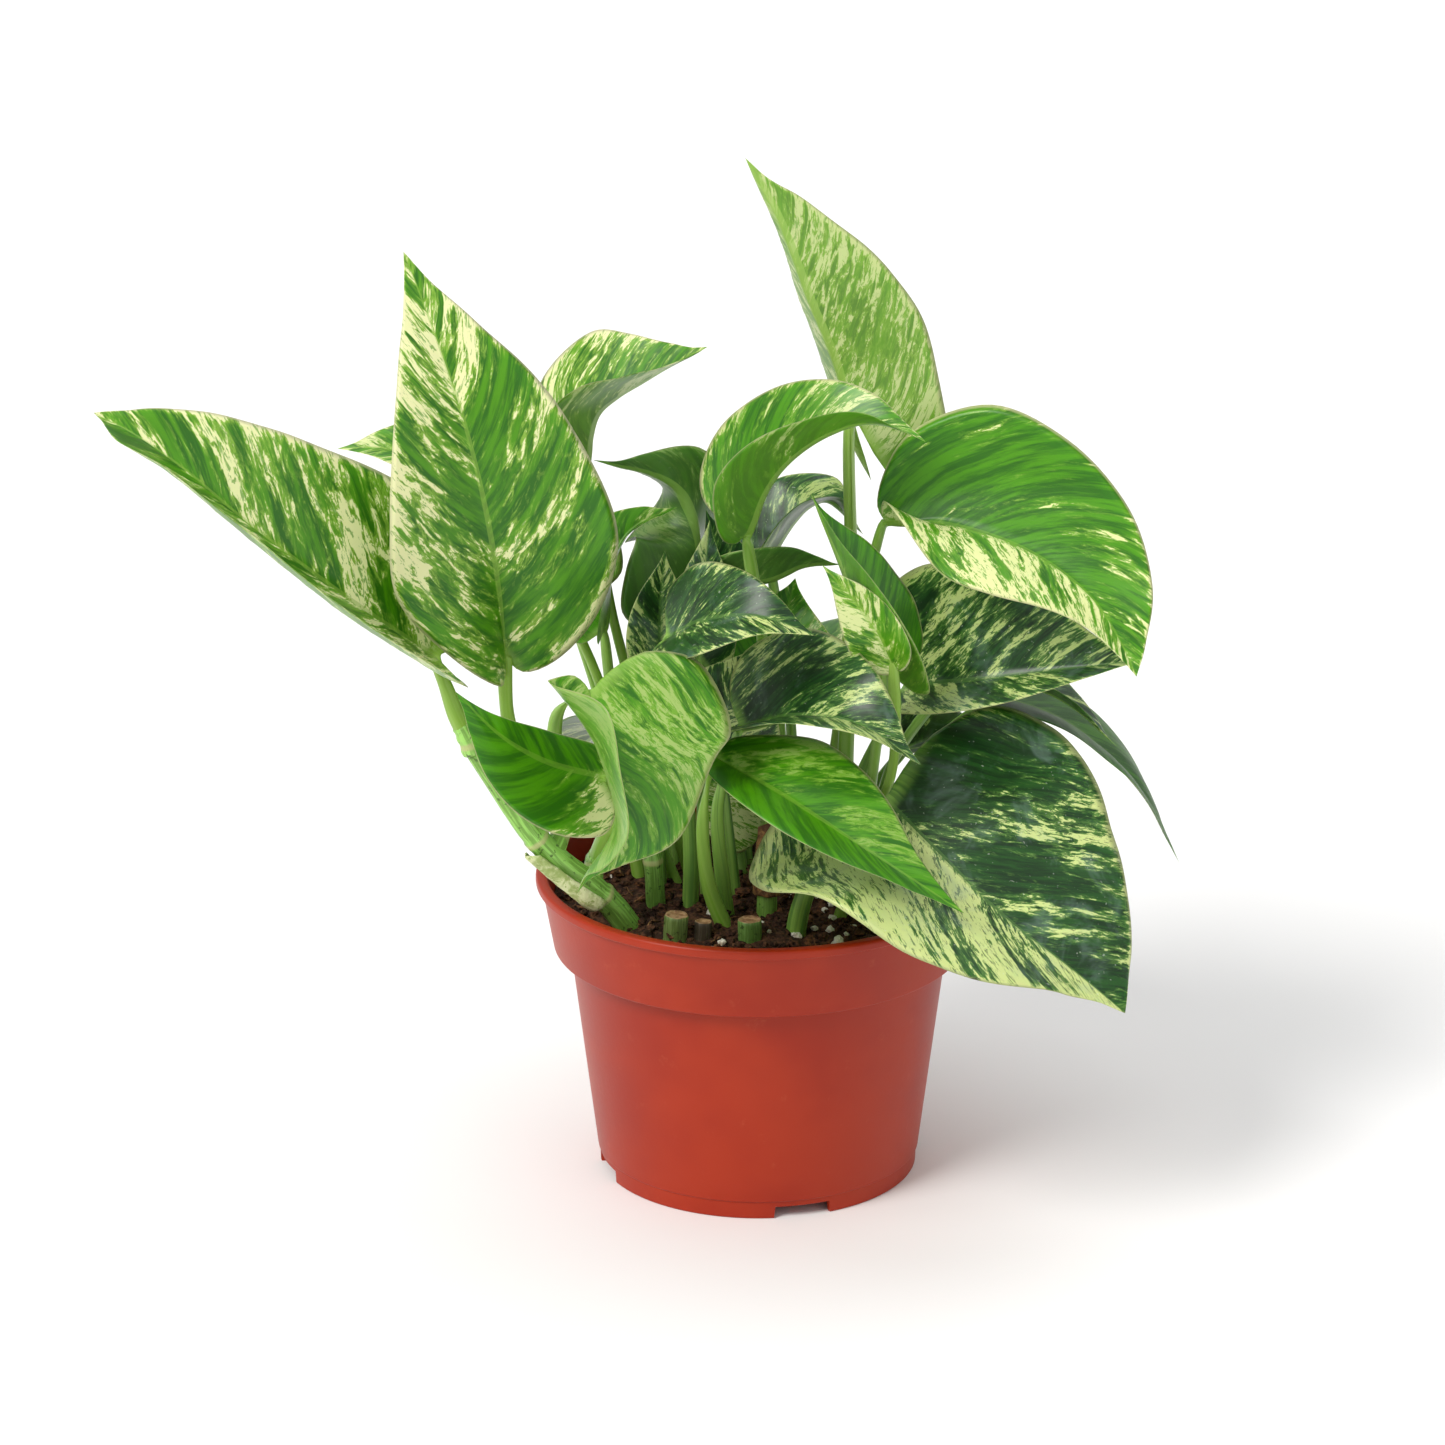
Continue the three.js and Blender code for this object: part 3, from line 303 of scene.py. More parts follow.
def closed_tube(name, rows, start, end):
    """One closed mesh from rows of points, closed by a point at each end."""
    count, around = rows.shape[:2]
    points = [tuple(start), *map(tuple, rows.reshape(-1, 3)), tuple(end)]
    last = len(points) - 1
    faces = []
    for k in range(around):
        following = (k + 1) % around
        faces.append((0, 1 + following, 1 + k))
        faces.append((last, last - around + k, last - around + following))
    for r in range(count - 1):
        for k in range(around):
            following = (k + 1) % around
            here, there = 1 + r * around, 1 + (r + 1) * around
            faces.append((here + k, here + following, there + following, there + k))
    mesh = bpy.data.meshes.new(name)
    mesh.from_pydata(points, [], faces)
    mesh.polygons.foreach_set("use_smooth", [True] * len(faces))
    return mesh


def vector_attribute(mesh, name, values):
    made = mesh.attributes.new(name, "FLOAT_VECTOR", "POINT")
    made.data.foreach_set("vector", np.asarray(values, np.float32).ravel())


def place_piece(name, mesh, material, slot, *nodes):
    piece = bpy.data.objects.new(name, mesh)
    bpy.context.scene.collection.objects.link(piece)
    piece.data.materials.append(material)
    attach(piece, BODY)
    if nodes:
        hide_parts(*nodes)
    return piece


# ---- Leaves ---------------------------------------------------------------------------------
PETIOLE_PLACES = [-0.9, -0.6, -0.3, -0.02]  # before the blade, which starts at 0
BLADE_PLACES = [0.0, 0.03, 0.09, 0.18, 0.31, 0.45, 0.6, 0.74, 0.88, 1.0]  # along the midrib
STEPS_ALONG = [10, 10, 10, 3, 3, 4, 6, 8, 9, 9, 9, 9, 12]
STEPS_QUARTER = 12  # from midrib to margin
VEIN_LEAN = 1.15  # how far a side vein runs forwards for each step outwards
VEIN_SPACING = 7.5 * MM
VEIN_DEPTH = 0.16 * MM
SWELL_HEIGHT = 0.75 * MM  # of the whole blade
SWELL_SIZE = 26 * MM
WAVE_HEIGHT = 0.9 * MM  # of its margin
WAVE_SIZE = 17 * MM
NARROW_HALF = 6 * MM  # a half blade narrower than this is displaced less
BLADE_START = 0.05  # share of the midrib over which petiole turns into blade

# Colours of a kind of leaf, from deep green to cream, then its underside and its petiole; its dust sets both
# the pale dust specks and the grey-blue patches of painted sheen on a blade.
KINDS = {
    "young": dict(
        deep=rgb(40, 102, 0), green=rgb(74, 144, 0), pale=rgb(118, 166, 50), cream=rgb(222, 228, 160),
        under=rgb(104, 152, 50), stalk=rgb(140, 180, 76), gloss=0.38, dust=0.0,
    ),
    "marbled": dict(
        deep=rgb(38, 100, 0), green=rgb(76, 142, 2), pale=rgb(136, 176, 62), cream=rgb(230, 232, 174),
        under=rgb(126, 164, 68), stalk=rgb(148, 184, 82), gloss=0.4, dust=0.0,
    ),
    "old": dict(
        deep=rgb(14, 48, 14), green=rgb(30, 76, 24), pale=rgb(88, 130, 56), cream=rgb(202, 216, 138),
        under=rgb(84, 122, 58), stalk=rgb(136, 176, 78), gloss=0.34, dust=0.5,
    ),
    # the shaded kind: darker, duller copies of the leaf greens, painted shade for blades that sit in shadow
    "shaded": dict(
        deep=rgb(34, 80, 14), green=rgb(62, 114, 26), pale=rgb(112, 150, 68), cream=rgb(190, 206, 136),
        under=rgb(94, 136, 56), stalk=rgb(130, 170, 74), gloss=0.44, dust=0.15,
    ),
}

# Kind, share of cream on the left and the right half, how coarse the marbling is, how white its
# patches get, and how much creamier the blade is at its base than at its tip.
LOOKS = {
    "leaf_far_left": ("marbled", 0.42, 0.5, 1.25, 1.0, 0.2),
    "leaf_big_left": ("marbled", 0.48, 0.42, 1.1, 1.0, -0.35),
    "leaf_left_behind": ("marbled", 0.4, 0.4, 0.9, 0.8, 0.0),
    "leaf_upper_middle": ("marbled", 0.38, 0.42, 1.0, 1.0, 0.0),
    "leaf_back_dull": ("shaded", 0.3, 0.3, 1.0, 0.5, 0.0),
    "leaf_narrow_folded": ("young", 0.35, 0.3, 0.9, 0.6, 0.0),
    "leaf_dark_upright": ("old", 0.2, 0.2, 0.8, 0.7, 0.0),
    "leaf_upper_centre": ("young", 0.44, 0.34, 1.0, 0.8, 0.0),
    "leaf_tall_right": ("marbled", 0.52, 0.52, 0.85, 0.9, 0.2),
    "leaf_round_right": ("young", 0.3, 0.56, 0.9, 1.0, -0.2),
    "leaf_dark_right": ("old", 0.46, 0.52, 0.9, 0.9, 0.0),
    "leaf_large_front_right": ("old", 0.36, 0.6, 0.95, 1.0, -0.25),
    "leaf_edge_on_right": ("old", 0.35, 0.3, 0.8, 0.8, 0.0),
    "leaf_drooping_right": ("shaded", 0.1, 0.1, 0.8, 0.4, 0.0),
    "leaf_dark_centre": ("old", 0.4, 0.44, 0.75, 0.8, 0.0),
    "leaf_dark_left": ("old", 0.36, 0.46, 0.8, 1.0, 0.1),
    "leaf_shaded_centre": ("young", 0.32, 0.36, 0.8, 0.6, 0.0),
    "leaf_small_tip": ("old", 0.55, 0.5, 0.8, 0.9, 0.0),
    "leaf_underside_centre": ("shaded", 0.3, 0.3, 0.9, 0.5, 0.0),
    "leaf_shaded_back": ("old", 0.4, 0.4, 0.8, 0.6, 0.0),
    "leaf_twisted": ("young", 0.2, 0.1, 0.8, 0.5, 0.0),
    "leaf_pale_front": ("marbled", 0.56, 0.5, 0.8, 0.7, 0.2),
    "leaf_bright_front": ("young", 0.4, 0.02, 1.1, 0.15, 0.1),
    "leaf_round_front_left": ("young", 0.38, 0.6, 1.0, 0.3, 0.1),
    "leaf_pointed_front_left": ("young", 0.1, 0.1, 1.3, 0.9, 2.4),
    "leaf_mottled_low": ("marbled", 0.5, 0.5, 0.7, 0.8, 0.0),
    "leaf_dark_inner": ("old", 0.46, 0.42, 0.8, 0.9, 0.0),
    "leaf_mottled_inner": ("old", 0.5, 0.5, 0.7, 0.8, 0.0),
    "leaf_back_left": ("old", 0.42, 0.3, 0.9, 0.9, 0.0),
    "leaf_back_middle": ("young", 0.34, 0.44, 1.1, 0.9, 0.0),
    "leaf_back_right": ("marbled", 0.46, 0.4, 1.0, 1.0, 0.0),
    "leaf_back_upper_left": ("young", 0.4, 0.32, 1.0, 0.7, 0.1),
    "leaf_back_low_right": ("old", 0.32, 0.44, 0.9, 0.9, 0.0),
}
SLOT_OF = {part["node"]: part["material_slot"] for part in frame["record"]["subparts"]}


def quarter(rings, columns):
    """Points from the midrib to the margin (or back), through four columns of every ring."""
    line = rings[:, columns].transpose(1, 0, 2)
    share = STEPS_QUARTER // 3
    return hermite(line, [share, share, share]).transpose(1, 0, 2)


def leaf_surface(node):
    """The fine rings of a leaf, and its two end points."""
    rings, (start, end) = rings_of(node)
    rings = np.concatenate([rings, np.broadcast_to(end, (1, *rings.shape[1:]))])
    upper_right = quarter(rings, [0, 1, 2, 3])
    lower_right = quarter(rings, [3, 4, 5, 6])
    lower_left = quarter(rings, [6, 7, 8, 9])
    upper_left = quarter(rings, [9, 10, 11, 0])
    joined = [part[:, :-1] for part in (upper_right, lower_right, lower_left, upper_left)]
    fine = hermite(np.concatenate(joined, axis=1), STEPS_ALONG)
    return fine, start, end


def along_rows():
    """For each fine row its place along the midrib (negative on the petiole) as a share of the blade."""
    knots = PETIOLE_PLACES + BLADE_PLACES
    rows = []
    for i, count in enumerate(STEPS_ALONG):
        rows += [knots[i] + (knots[i + 1] - knots[i]) * step / count for step in range(count)]
    return np.array(rows + [knots[-1]])


def ripple(way, out, seed, size):
    """A gentle swell of the blade, the same on both its faces."""
    rows, columns = way.shape
    heights = np.empty(way.shape)
    for r in range(rows):
        for c in range(columns):
            heights[r, c] = noise.noise((way[r, c] * size, out[r, c] * size, seed))
    return heights


def build_leaf(number, node):
    fine, start, end = leaf_surface(node)
    q = STEPS_QUARTER
    rows = along_rows()
    blade_length = np.linalg.norm(np.diff(fine[:, 0], axis=0)[rows[:-1] >= 0], axis=1).sum()
    right = fine[:, : q + 1]
    left = np.concatenate([fine[:, 3 * q :], fine[:, :1]], axis=1)[:, ::-1]
    across = np.arange(q + 1) / q
    out = {}
    way = {}
    for side, half in (("right", right), ("left", left)):
        steps = np.linalg.norm(np.diff(half, axis=1), axis=2)
        out[side] = np.concatenate([np.zeros((len(rows), 1)), np.cumsum(steps, axis=1)], axis=1)
        way[side] = np.maximum(rows, -0.3)[:, None] * blade_length - VEIN_LEAN * out[side]

    def round_ring(right_values, left_values):
        return np.concatenate(
            [right_values[:, :q], right_values[:, :0:-1], left_values[:, :q], left_values[:, :0:-1]],
            axis=1,
        )

    blade = np.clip(rows / BLADE_START, 0, 1)
    # displacement, along the upper face's normal
    tangents = np.gradient(fine, axis=0)
    centre_side = right[:, 1] - left[:, 1]
    up = np.cross(centre_side, tangents[:, 0])
    lengths = np.maximum(np.linalg.norm(up, axis=1, keepdims=True), 1e-12)
    up = up / lengths
    lifted = {}
    for side in ("right", "left"):
        on_left = side == "left"
        swell = ripple(way[side], out[side], 7.1 * number + on_left * 3.3, 1 / SWELL_SIZE)
        wave = ripple(way[side], out[side] * 0.2, 5.7 * number + on_left * 9.1, 1 / WAVE_SIZE)
        vein = np.cos(2 * math.pi * way[side] / VEIN_SPACING)
        vein = -np.maximum(vein, 0) ** 6
        room = np.sin(across * math.pi) ** 0.7
        lifted[side] = (
            SWELL_HEIGHT * swell * np.minimum(1, across * 3)
            + WAVE_HEIGHT * wave * across**2.2
            + VEIN_DEPTH * vein * room
        )
        fade = np.minimum(1, out[side][:, -1:] / NARROW_HALF) * blade[:, None]
        lifted[side] = lifted[side] * fade
    push = round_ring(lifted["right"], lifted["left"])
    fine = fine + push[..., None] * up[:, None, :]

    mesh = closed_tube(node, fine[:-1], start, end)
    ways = round_ring(way["right"], way["left"])
    outs = round_ring(out["right"], out["left"])
    edges = np.broadcast_to(across, right.shape[:2])
    edge = round_ring(edges, edges)
    side = np.ones((len(rows), 4 * q))
    side[:, 2 * q + 1 :] = 0
    side[:, [0, 2 * q]] = 0.5
    upper = np.zeros((len(rows), 4 * q))
    upper[:, :q] = 1
    upper[:, 3 * q + 1 :] = 1
    upper[:, [q, 3 * q]] = 0.5
    blades = np.broadcast_to(blade[:, None], side.shape)
    marks = np.broadcast_to(rows[:, None], side.shape)

    def with_ends(values):
        flat = values[:-1].reshape(-1, 3)
        return np.concatenate([flat[:1], flat, values[-1, :1]])

    vector_attribute(mesh, "leaf_way", with_ends(np.stack([ways, outs, edge], axis=-1)))
    vector_attribute(mesh, "leaf_side", with_ends(np.stack([side, upper, blades], axis=-1)))
    vector_attribute(mesh, "leaf_place", with_ends(np.stack([marks, outs, edge], axis=-1)))
    kind, *marbling = LOOKS[node]
    material = leaf_material(node, number, KINDS[kind], *marbling)
    place_piece(node + "_fine", mesh, material, SLOT_OF[node], node)


def leaf_material(name, number, colours, cream_left, cream_right, coarse, white, base):
    look = Finish(name, colours["gloss"], 0.4)
    way, out, edge = look.attribute("leaf_way")
    side, upper, blade = look.attribute("leaf_side")
    place = look.attribute("leaf_place")[0]
    on_right = look.maths("GREATER_THAN", side, 0.5)
    seed = look.maths("MULTIPLY_ADD", on_right, 3.7, number * 1.37)

    # marbling drawn out along the side veins
    def streaks(across_mm, along_mm, detail, shift=0.0, distortion=0.0):
        x = look.maths("MULTIPLY", way, 1 / (across_mm * coarse * MM))
        y = look.maths("MULTIPLY", out, 1 / (along_mm * coarse * MM))
        z = look.maths("ADD", seed, shift)
        return look.noise(look.vector(x, y, z), 1.0, detail, 0.66, distortion)

    sectors = streaks(15, 34, 2.0, 11.0, 0.8)
    broad = streaks(5.4, 10.5, 7.0, 5.0, 1.3)
    fine = streaks(1.8, 3.0, 6.0, 2.0, 0.9)
    bias = look.maths("MULTIPLY_ADD", on_right, cream_right - cream_left, cream_left - 0.5)
    total = look.maths("MULTIPLY", sectors, 0.7)
    total = look.maths("MULTIPLY_ADD", broad, 0.7, total)
    total = look.maths("MULTIPLY_ADD", fine, 0.6, total)
    total = look.maths("MULTIPLY_ADD", bias, 0.6, total)
    total = look.maths("ADD", total, look.maths("MULTIPLY_ADD", place, -0.3 * base, 0.12 * base))
    margin = look.between(edge, 0.84, 1.0)
    total = look.maths("MULTIPLY_ADD", margin, 0.1, total)

    # deep and light green, then pale green, then cream, and green flecks again in the cream
    shade = streaks(3.0, 14, 4.0, 23.0, 0.2)
    green = look.mix(look.between(shade, 0.4, 0.62), colours["deep"], colours["green"])
    haze = look.between(total, 0.9, 1.03)
    colour = look.mix(look.maths("MULTIPLY", haze, 0.55), green, colours["pale"])
    patch = look.between(total, 0.99, 0.998)
    colour = look.mix(look.maths("MULTIPLY", patch, 0.8), colour, colours["pale"])
    whitened = look.maths("MULTIPLY", look.between(total, 1.035, 1.047), white)
    colour = look.mix(whitened, colour, colours["cream"])
    flecks = look.between(streaks(1.2, 2.0, 5.0, 41.0, 0.8), 0.56, 0.585)
    inner = look.between(total, 0.99, 1.03)
    fleck = look.maths("MULTIPLY", look.maths("MULTIPLY", flecks, inner), 0.75)
    colour = look.mix(fleck, colour, colours["green"])

    # old blades carry grey-blue patches of painted sheen, a painted reflection, and pale specks of dust
    if colours["dust"]:
        painted_sheen = look.between(look.noise(look.object_place(), 70.0, 4.0, 0.7, 0.6), 0.5, 0.72)
        sheen_share = look.maths("MULTIPLY", painted_sheen, colours["dust"] * 0.6)
        colour = look.mix(sheen_share, colour, rgb(132, 156, 148))
        specks = look.between(look.noise(look.object_place(), 1100.0, 2.0, 0.4), 0.7, 0.76)
        specked = look.maths("MULTIPLY", specks, colours["dust"] * 0.7)
        colour = look.mix(specked, colour, rgb(206, 214, 200))

    # pale midrib, pale margin
    rib_width = look.maths("MULTIPLY_ADD", place, -0.75 * MM, 0.95 * MM)
    rib = look.maths("LESS_THAN", out, rib_width)
    colour = look.mix(look.maths("MULTIPLY", rib, 0.45), colour, colours["pale"])
    rim = look.between(edge, 0.965, 0.995)
    colour = look.mix(look.maths("MULTIPLY", rim, 0.7), colour, colours["cream"])

    # the underside is duller, with its veins standing out pale
    below = look.mix(0.42, colour, colours["under"])
    under_rib = look.maths("LESS_THAN", out, 1.6 * MM)
    below = look.mix(look.maths("MULTIPLY", under_rib, 0.7), below, colours["stalk"])
    on_top = look.maths("GREATER_THAN", upper, 0.5)
    colour = look.mix(on_top, below, colour)

    # petiole
    fibre = look.noise(look.vector(look.maths("MULTIPLY", out, 900.0), place, seed), 1.0, 2.0)
    stalk = look.mix(look.between(fibre, 0.35, 0.7), colours["stalk"], colours["pale"])
    colour = look.mix(look.between(place, 0.0, 0.05), stalk, colour)
    look.set("Base Color", colour)

    grain = look.noise(look.object_place(), 900.0, 3.0)
    veinlets = look.maths("MULTIPLY", fine, 0.6)
    look.bump(look.maths("MULTIPLY_ADD", grain, 0.25, veinlets), 0.12 * MM, 0.5)
    look.set("Subsurface Weight", 0.12)
    look.set("Subsurface Radius", (0.4, 1.0, 0.2))
    look.set("Subsurface Scale", 1.5 * MM)
    look.set("Coat Weight", 0.06)
    look.set("Coat Roughness", 0.28)
    return look.material


# ---- Stems ----------------------------------------------------------------------------------
STEM_AROUND = 24
STEM_STEP = 0.9 * MM

# Slot of each stem, whether its far end is cut, where its ring scars are and its colour.
STEM_LOOKS = {
    "vine_left": dict(slot="green_stem", cut=False, rings=[0.3, 0.62], tone=rgb(118, 166, 66)),
    "stem_node_left": dict(slot="green_stem", cut=True, rings=[0.55, 0.8], tone=rgb(104, 146, 58)),
    "stem_sheathed": dict(slot="green_stem", cut=True, rings=[0.7], tone=rgb(110, 150, 60)),
    "stub_front_left": dict(slot="cut_stem", cut=True, rings=[0.5], tone=rgb(92, 112, 52)),
    "stub_front_middle": dict(slot="cut_stem", cut=True, rings=[0.5], tone=rgb(84, 118, 48)),
    "stub_front_dark": dict(slot="cut_stem", cut=True, rings=[0.5], tone=rgb(58, 50, 34)),
    "stub_back": dict(slot="cut_stem", cut=True, rings=[0.6], tone=rgb(112, 140, 66)),
}


def mark_stem(mesh, along, angles, tip=None):
    """Gives each point its distance along the stem and its direction round it, for the material."""
    marks = np.zeros((len(along), len(angles), 3))
    marks[..., 0] = along[:, None]
    marks[..., 1] = np.cos(angles)[None, :]
    marks[..., 2] = np.sin(angles)[None, :]
    flat = marks.reshape(-1, 3)
    vector_attribute(mesh, "stem_place", np.concatenate([flat[:1], flat, flat[-1:] if tip is None else tip]))


def build_stem(number, node, look):
    rings, (start, end) = rings_of(node)
    around = rings.shape[1]
    wrapped = np.concatenate([rings[:, -1:], rings, rings[:, :2]], axis=1).transpose(1, 0, 2)
    share = STEM_AROUND // around
    smooth = hermite(wrapped, [share] * (around + 2)).transpose(1, 0, 2)
    smooth = smooth[:, share : share + share * around]
    centre = rings.mean(axis=1)
    gaps = np.linalg.norm(np.diff(centre, axis=0), axis=1)
    fine = hermite(smooth, [max(2, round(g / STEM_STEP)) for g in gaps])
    middle = fine.mean(axis=1, keepdims=True)
    count, columns = fine.shape[:2]
    length = gaps.sum()
    places = np.linspace(0, 1, count)
    angles = 2 * math.pi * np.arange(columns) / columns
    swell = np.ones((count, columns))
    for ring in look["rings"]:
        swell += 0.1 * np.exp(-(((places - ring) * length / (1.1 * MM)) ** 2))[:, None]
        swell -= 0.05 * np.exp(-(((places - ring) * length - 1.6 * MM) / (0.7 * MM)) ** 2)[:, None]
    ridges = 0.035 * np.sin(angles * 5 + number)[None, :] + 0.02 * np.sin(angles * 9 - number)[None, :]
    swell += ridges
    fine = middle + (fine - middle) * swell[..., None]
    if look["cut"]:
        # a flat cut, a little sunk and rough, in place of the low cone
        rim = fine[-1]
        core = rim.mean(axis=0)
        caps = []
        for inset, sink in ((0.93, -0.25), (0.7, 0.1), (0.4, 0.2)):
            cap = core + (rim - core) * inset
            caps.append(cap + (end - core) / np.linalg.norm(end - core) * -sink * MM)
        fine = np.concatenate([fine, np.array(caps)])
        end = core - (end - core) / np.linalg.norm(end - core) * 0.15 * MM
        places = np.concatenate([places, [1.02, 1.03, 1.04]])
    mesh = closed_tube(node, fine, start, end)
    mark_stem(mesh, places * length, angles, [[places[-1] * length + 1e-4, 0, 0]])
    material = stem_material(node, number, look, length)
    place_piece(node + "_fine", mesh, material, look["slot"], node)


# Leaves that spring from the vine, and the look of the swelling at the foot of each petiole.
SPRINGING = ["leaf_far_left", "leaf_big_left", "leaf_round_front_left", "leaf_pointed_front_left"]
SLEEVE_LOOK = dict(slot="green_stem", cut=False, rings=[0.3], tone=rgb(124, 170, 72))
SLEEVE_REACH = 4 * MM  # how far it runs up the petiole
SLEEVE_AROUND = 20
SLEEVE_UP = (0.3, -0.2, 0.93)  # a direction that no petiole runs in


def build_sleeve(number, node):
    """A short swelling that joins a petiole to the vine."""
    spine = rings_of("vine_left")[0].mean(axis=1)
    vine = hermite(spine, [12] * (len(spine) - 1))
    rings = rings_of(node)[0]
    foot = rings[0].mean(axis=0)
    radius = np.linalg.norm(rings[0] - foot, axis=1).mean()
    ahead = rings[1].mean(axis=0) - foot
    ahead = ahead / np.linalg.norm(ahead)
    inside = vine[np.argmin(np.linalg.norm(vine - foot, axis=1))]
    path = hermite(np.array([inside, foot, foot + ahead * SLEEVE_REACH]), [6, 8])
    tangents = np.gradient(path, axis=0)
    tangents /= np.linalg.norm(tangents, axis=1, keepdims=True)
    shares = np.linspace(0, 1, len(path))
    widths = radius * (1.3 - 0.26 * shares + 0.06 * np.sin(shares * 14))
    widths[-1] = radius * 0.97
    side = np.cross(tangents, SLEEVE_UP)
    side /= np.linalg.norm(side, axis=1, keepdims=True)
    other = np.cross(tangents, side)
    angles = 2 * math.pi * np.arange(SLEEVE_AROUND) / SLEEVE_AROUND
    turned = np.cos(angles)[None, :, None] * side[:, None] + np.sin(angles)[None, :, None] * other[:, None]
    rows = path[:, None] + widths[:, None, None] * turned
    mesh = closed_tube(node + "_sleeve", rows, path[0], path[-1])
    length = np.linalg.norm(np.diff(path, axis=0), axis=1).sum()
    mark_stem(mesh, shares * length, angles)
    material = stem_material(node + "_sleeve", number, SLEEVE_LOOK, length)
    place_piece(node + "_sleeve", mesh, material, SLEEVE_LOOK["slot"])


def stem_material(name, number, look, length):
    made = Finish(name, 0.42)
    along, x, y = made.attribute("stem_place")
    scales = ((along, 60.0), (x, 3.0), (y, 3.0))
    place = made.vector(*(made.maths("MULTIPLY", part, by) for part, by in scales))
    fibres = made.noise(place, 1.3, 3.0)
    tone = look["tone"]
    light = tuple(min(1, c * 1.7 + 0.04) for c in tone[:3]) + (1,)
    dark = tuple(c * 0.45 for c in tone[:3]) + (1,)
    colour = made.mix(made.between(fibres, 0.42, 0.62), tone, light)
    spots = made.noise(made.object_place(), 700.0, 3.0)
    colour = made.mix(made.between(spots, 0.6, 0.68), colour, dark)
    for ring in look["rings"]:
        off = made.maths("ABSOLUTE", made.maths("SUBTRACT", along, ring * length))
        band = made.between(off, 1.0 * MM, 0.3 * MM)
        colour = made.mix(made.maths("MULTIPLY", band, 0.75), colour, rgb(190, 190, 130))
    if look["cut"]:
        brown = made.mix(made.between(spots, 0.4, 0.6), rgb(146, 104, 72), rgb(190, 150, 112))
        colour = made.mix(made.between(along, length * 1.0, length * 1.02), colour, brown)
    made.set("Base Color", colour)
    made.bump(fibres, 0.25 * MM, 0.6)
    made.set("Subsurface Weight", 0.08)
    made.set("Subsurface Radius", (0.5, 1.0, 0.3))
    made.set("Subsurface Scale", 1.0 * MM)
    return made.material


def sheath_material(name, light, dark):
    made = Finish(name, 0.65, 0.3)
    place = made.object_place()
    grain = made.noise(place, 260.0, 4.0, 0.6, 1.0)
    fine = made.noise(place, 1100.0, 3.0)
    colour = made.mix(made.between(grain, 0.4, 0.62), dark, light)
    colour = made.mix(made.between(fine, 0.55, 0.65), colour, dark)
    made.set("Base Color", colour)
    made.bump(made.maths("ADD", grain, fine), 0.3 * MM, 0.7)
    return made.material


def build_sheath(node, slot, light, dark, seed):
    """A papery sheath: the CAD rings, finer, with crumpled edges."""
    rings, (start, end) = rings_of(node)
    line = np.concatenate([rings, rings[:, :1]], axis=1).transpose(1, 0, 2)
    smooth = hermite(line, [3] * rings.shape[1]).transpose(1, 0, 2)[:, :-1]
    fine = hermite(smooth, [8] * (len(rings) - 1))
    for r in range(fine.shape[0]):
        for c in range(fine.shape[1]):
            p = Vector(fine[r, c])
            fine[r, c] += np.array(noise.noise_vector(p / (2.4 * MM) + Vector((seed, 0, 0)))) * 0.18 * MM
    mesh = closed_tube(node, fine, start, end)
    place_piece(node + "_fine", mesh, sheath_material(node, light, dark), slot, node)


# ---- Pot ------------------------------------------------------------------------------------
POT_SEGMENTS = 256
COLLAR_HEIGHT = 18.9 * MM
COLLAR_TOP_INSET = 1.4 * MM
COLLAR_BOTTOM_INSET = 4.4 * MM
BODY_TOP_INSET = 8.4 * MM
FOOT_INSET = 15.6 * MM
FOOT_HEIGHT = 4.4 * MM
FOOT_STEP = 0.6 * MM
WALL = 1.4 * MM
FLOOR_UNDER = 3.4 * MM
FLOOR_TOP = 5.0 * MM
LIP_HEIGHT = 2.4 * MM
NOTCH_COUNT = 4
NOTCH_WIDTH = 14.5 * MM
NOTCH_HEIGHT = 3.1 * MM
NOTCH_FIRST = math.radians(-74)
DRAIN_COUNT = 6
DRAIN_RADIUS = 3.4 * MM
DRAIN_PITCH = 24 * MM
CORNER_STEPS = 4  # in the arc of each rounded corner
CRISP_ABOVE = 34  # degrees between two faces


def rounded(corners, steps):
    """A profile of [radius, z, rounding] with its corners turned into short arcs."""
    points = []
    count = len(corners)
    for i, (r, z, size) in enumerate(corners):
        here = Vector((r, z))
        if size == 0 or i in (0, count - 1):
            points.append(here)
            continue
        before = Vector(corners[i - 1][:2]) - here
        after = Vector(corners[i + 1][:2]) - here
        reach = min(size, before.length * 0.45, after.length * 0.45)
        first = here + before.normalized() * reach
        last = here + after.normalized() * reach
        for step in range(steps + 1):
            t = step / steps
            points.append((1 - t) ** 2 * first + 2 * t * (1 - t) * here + t**2 * last)
    return points


def body_radius(z):
    low = RIM_RADIUS - FOOT_INSET + FOOT_STEP
    high = RIM_RADIUS - BODY_TOP_INSET
    return low + (high - low) * (z - FOOT_HEIGHT) / (POT_HEIGHT - COLLAR_HEIGHT - FOOT_HEIGHT)


def collar_radius(z):
    low = RIM_RADIUS - COLLAR_BOTTOM_INSET
    high = RIM_RADIUS - COLLAR_TOP_INSET
    start = POT_HEIGHT - COLLAR_HEIGHT
    return low + (high - low) * (z - start) / (COLLAR_HEIGHT - LIP_HEIGHT)


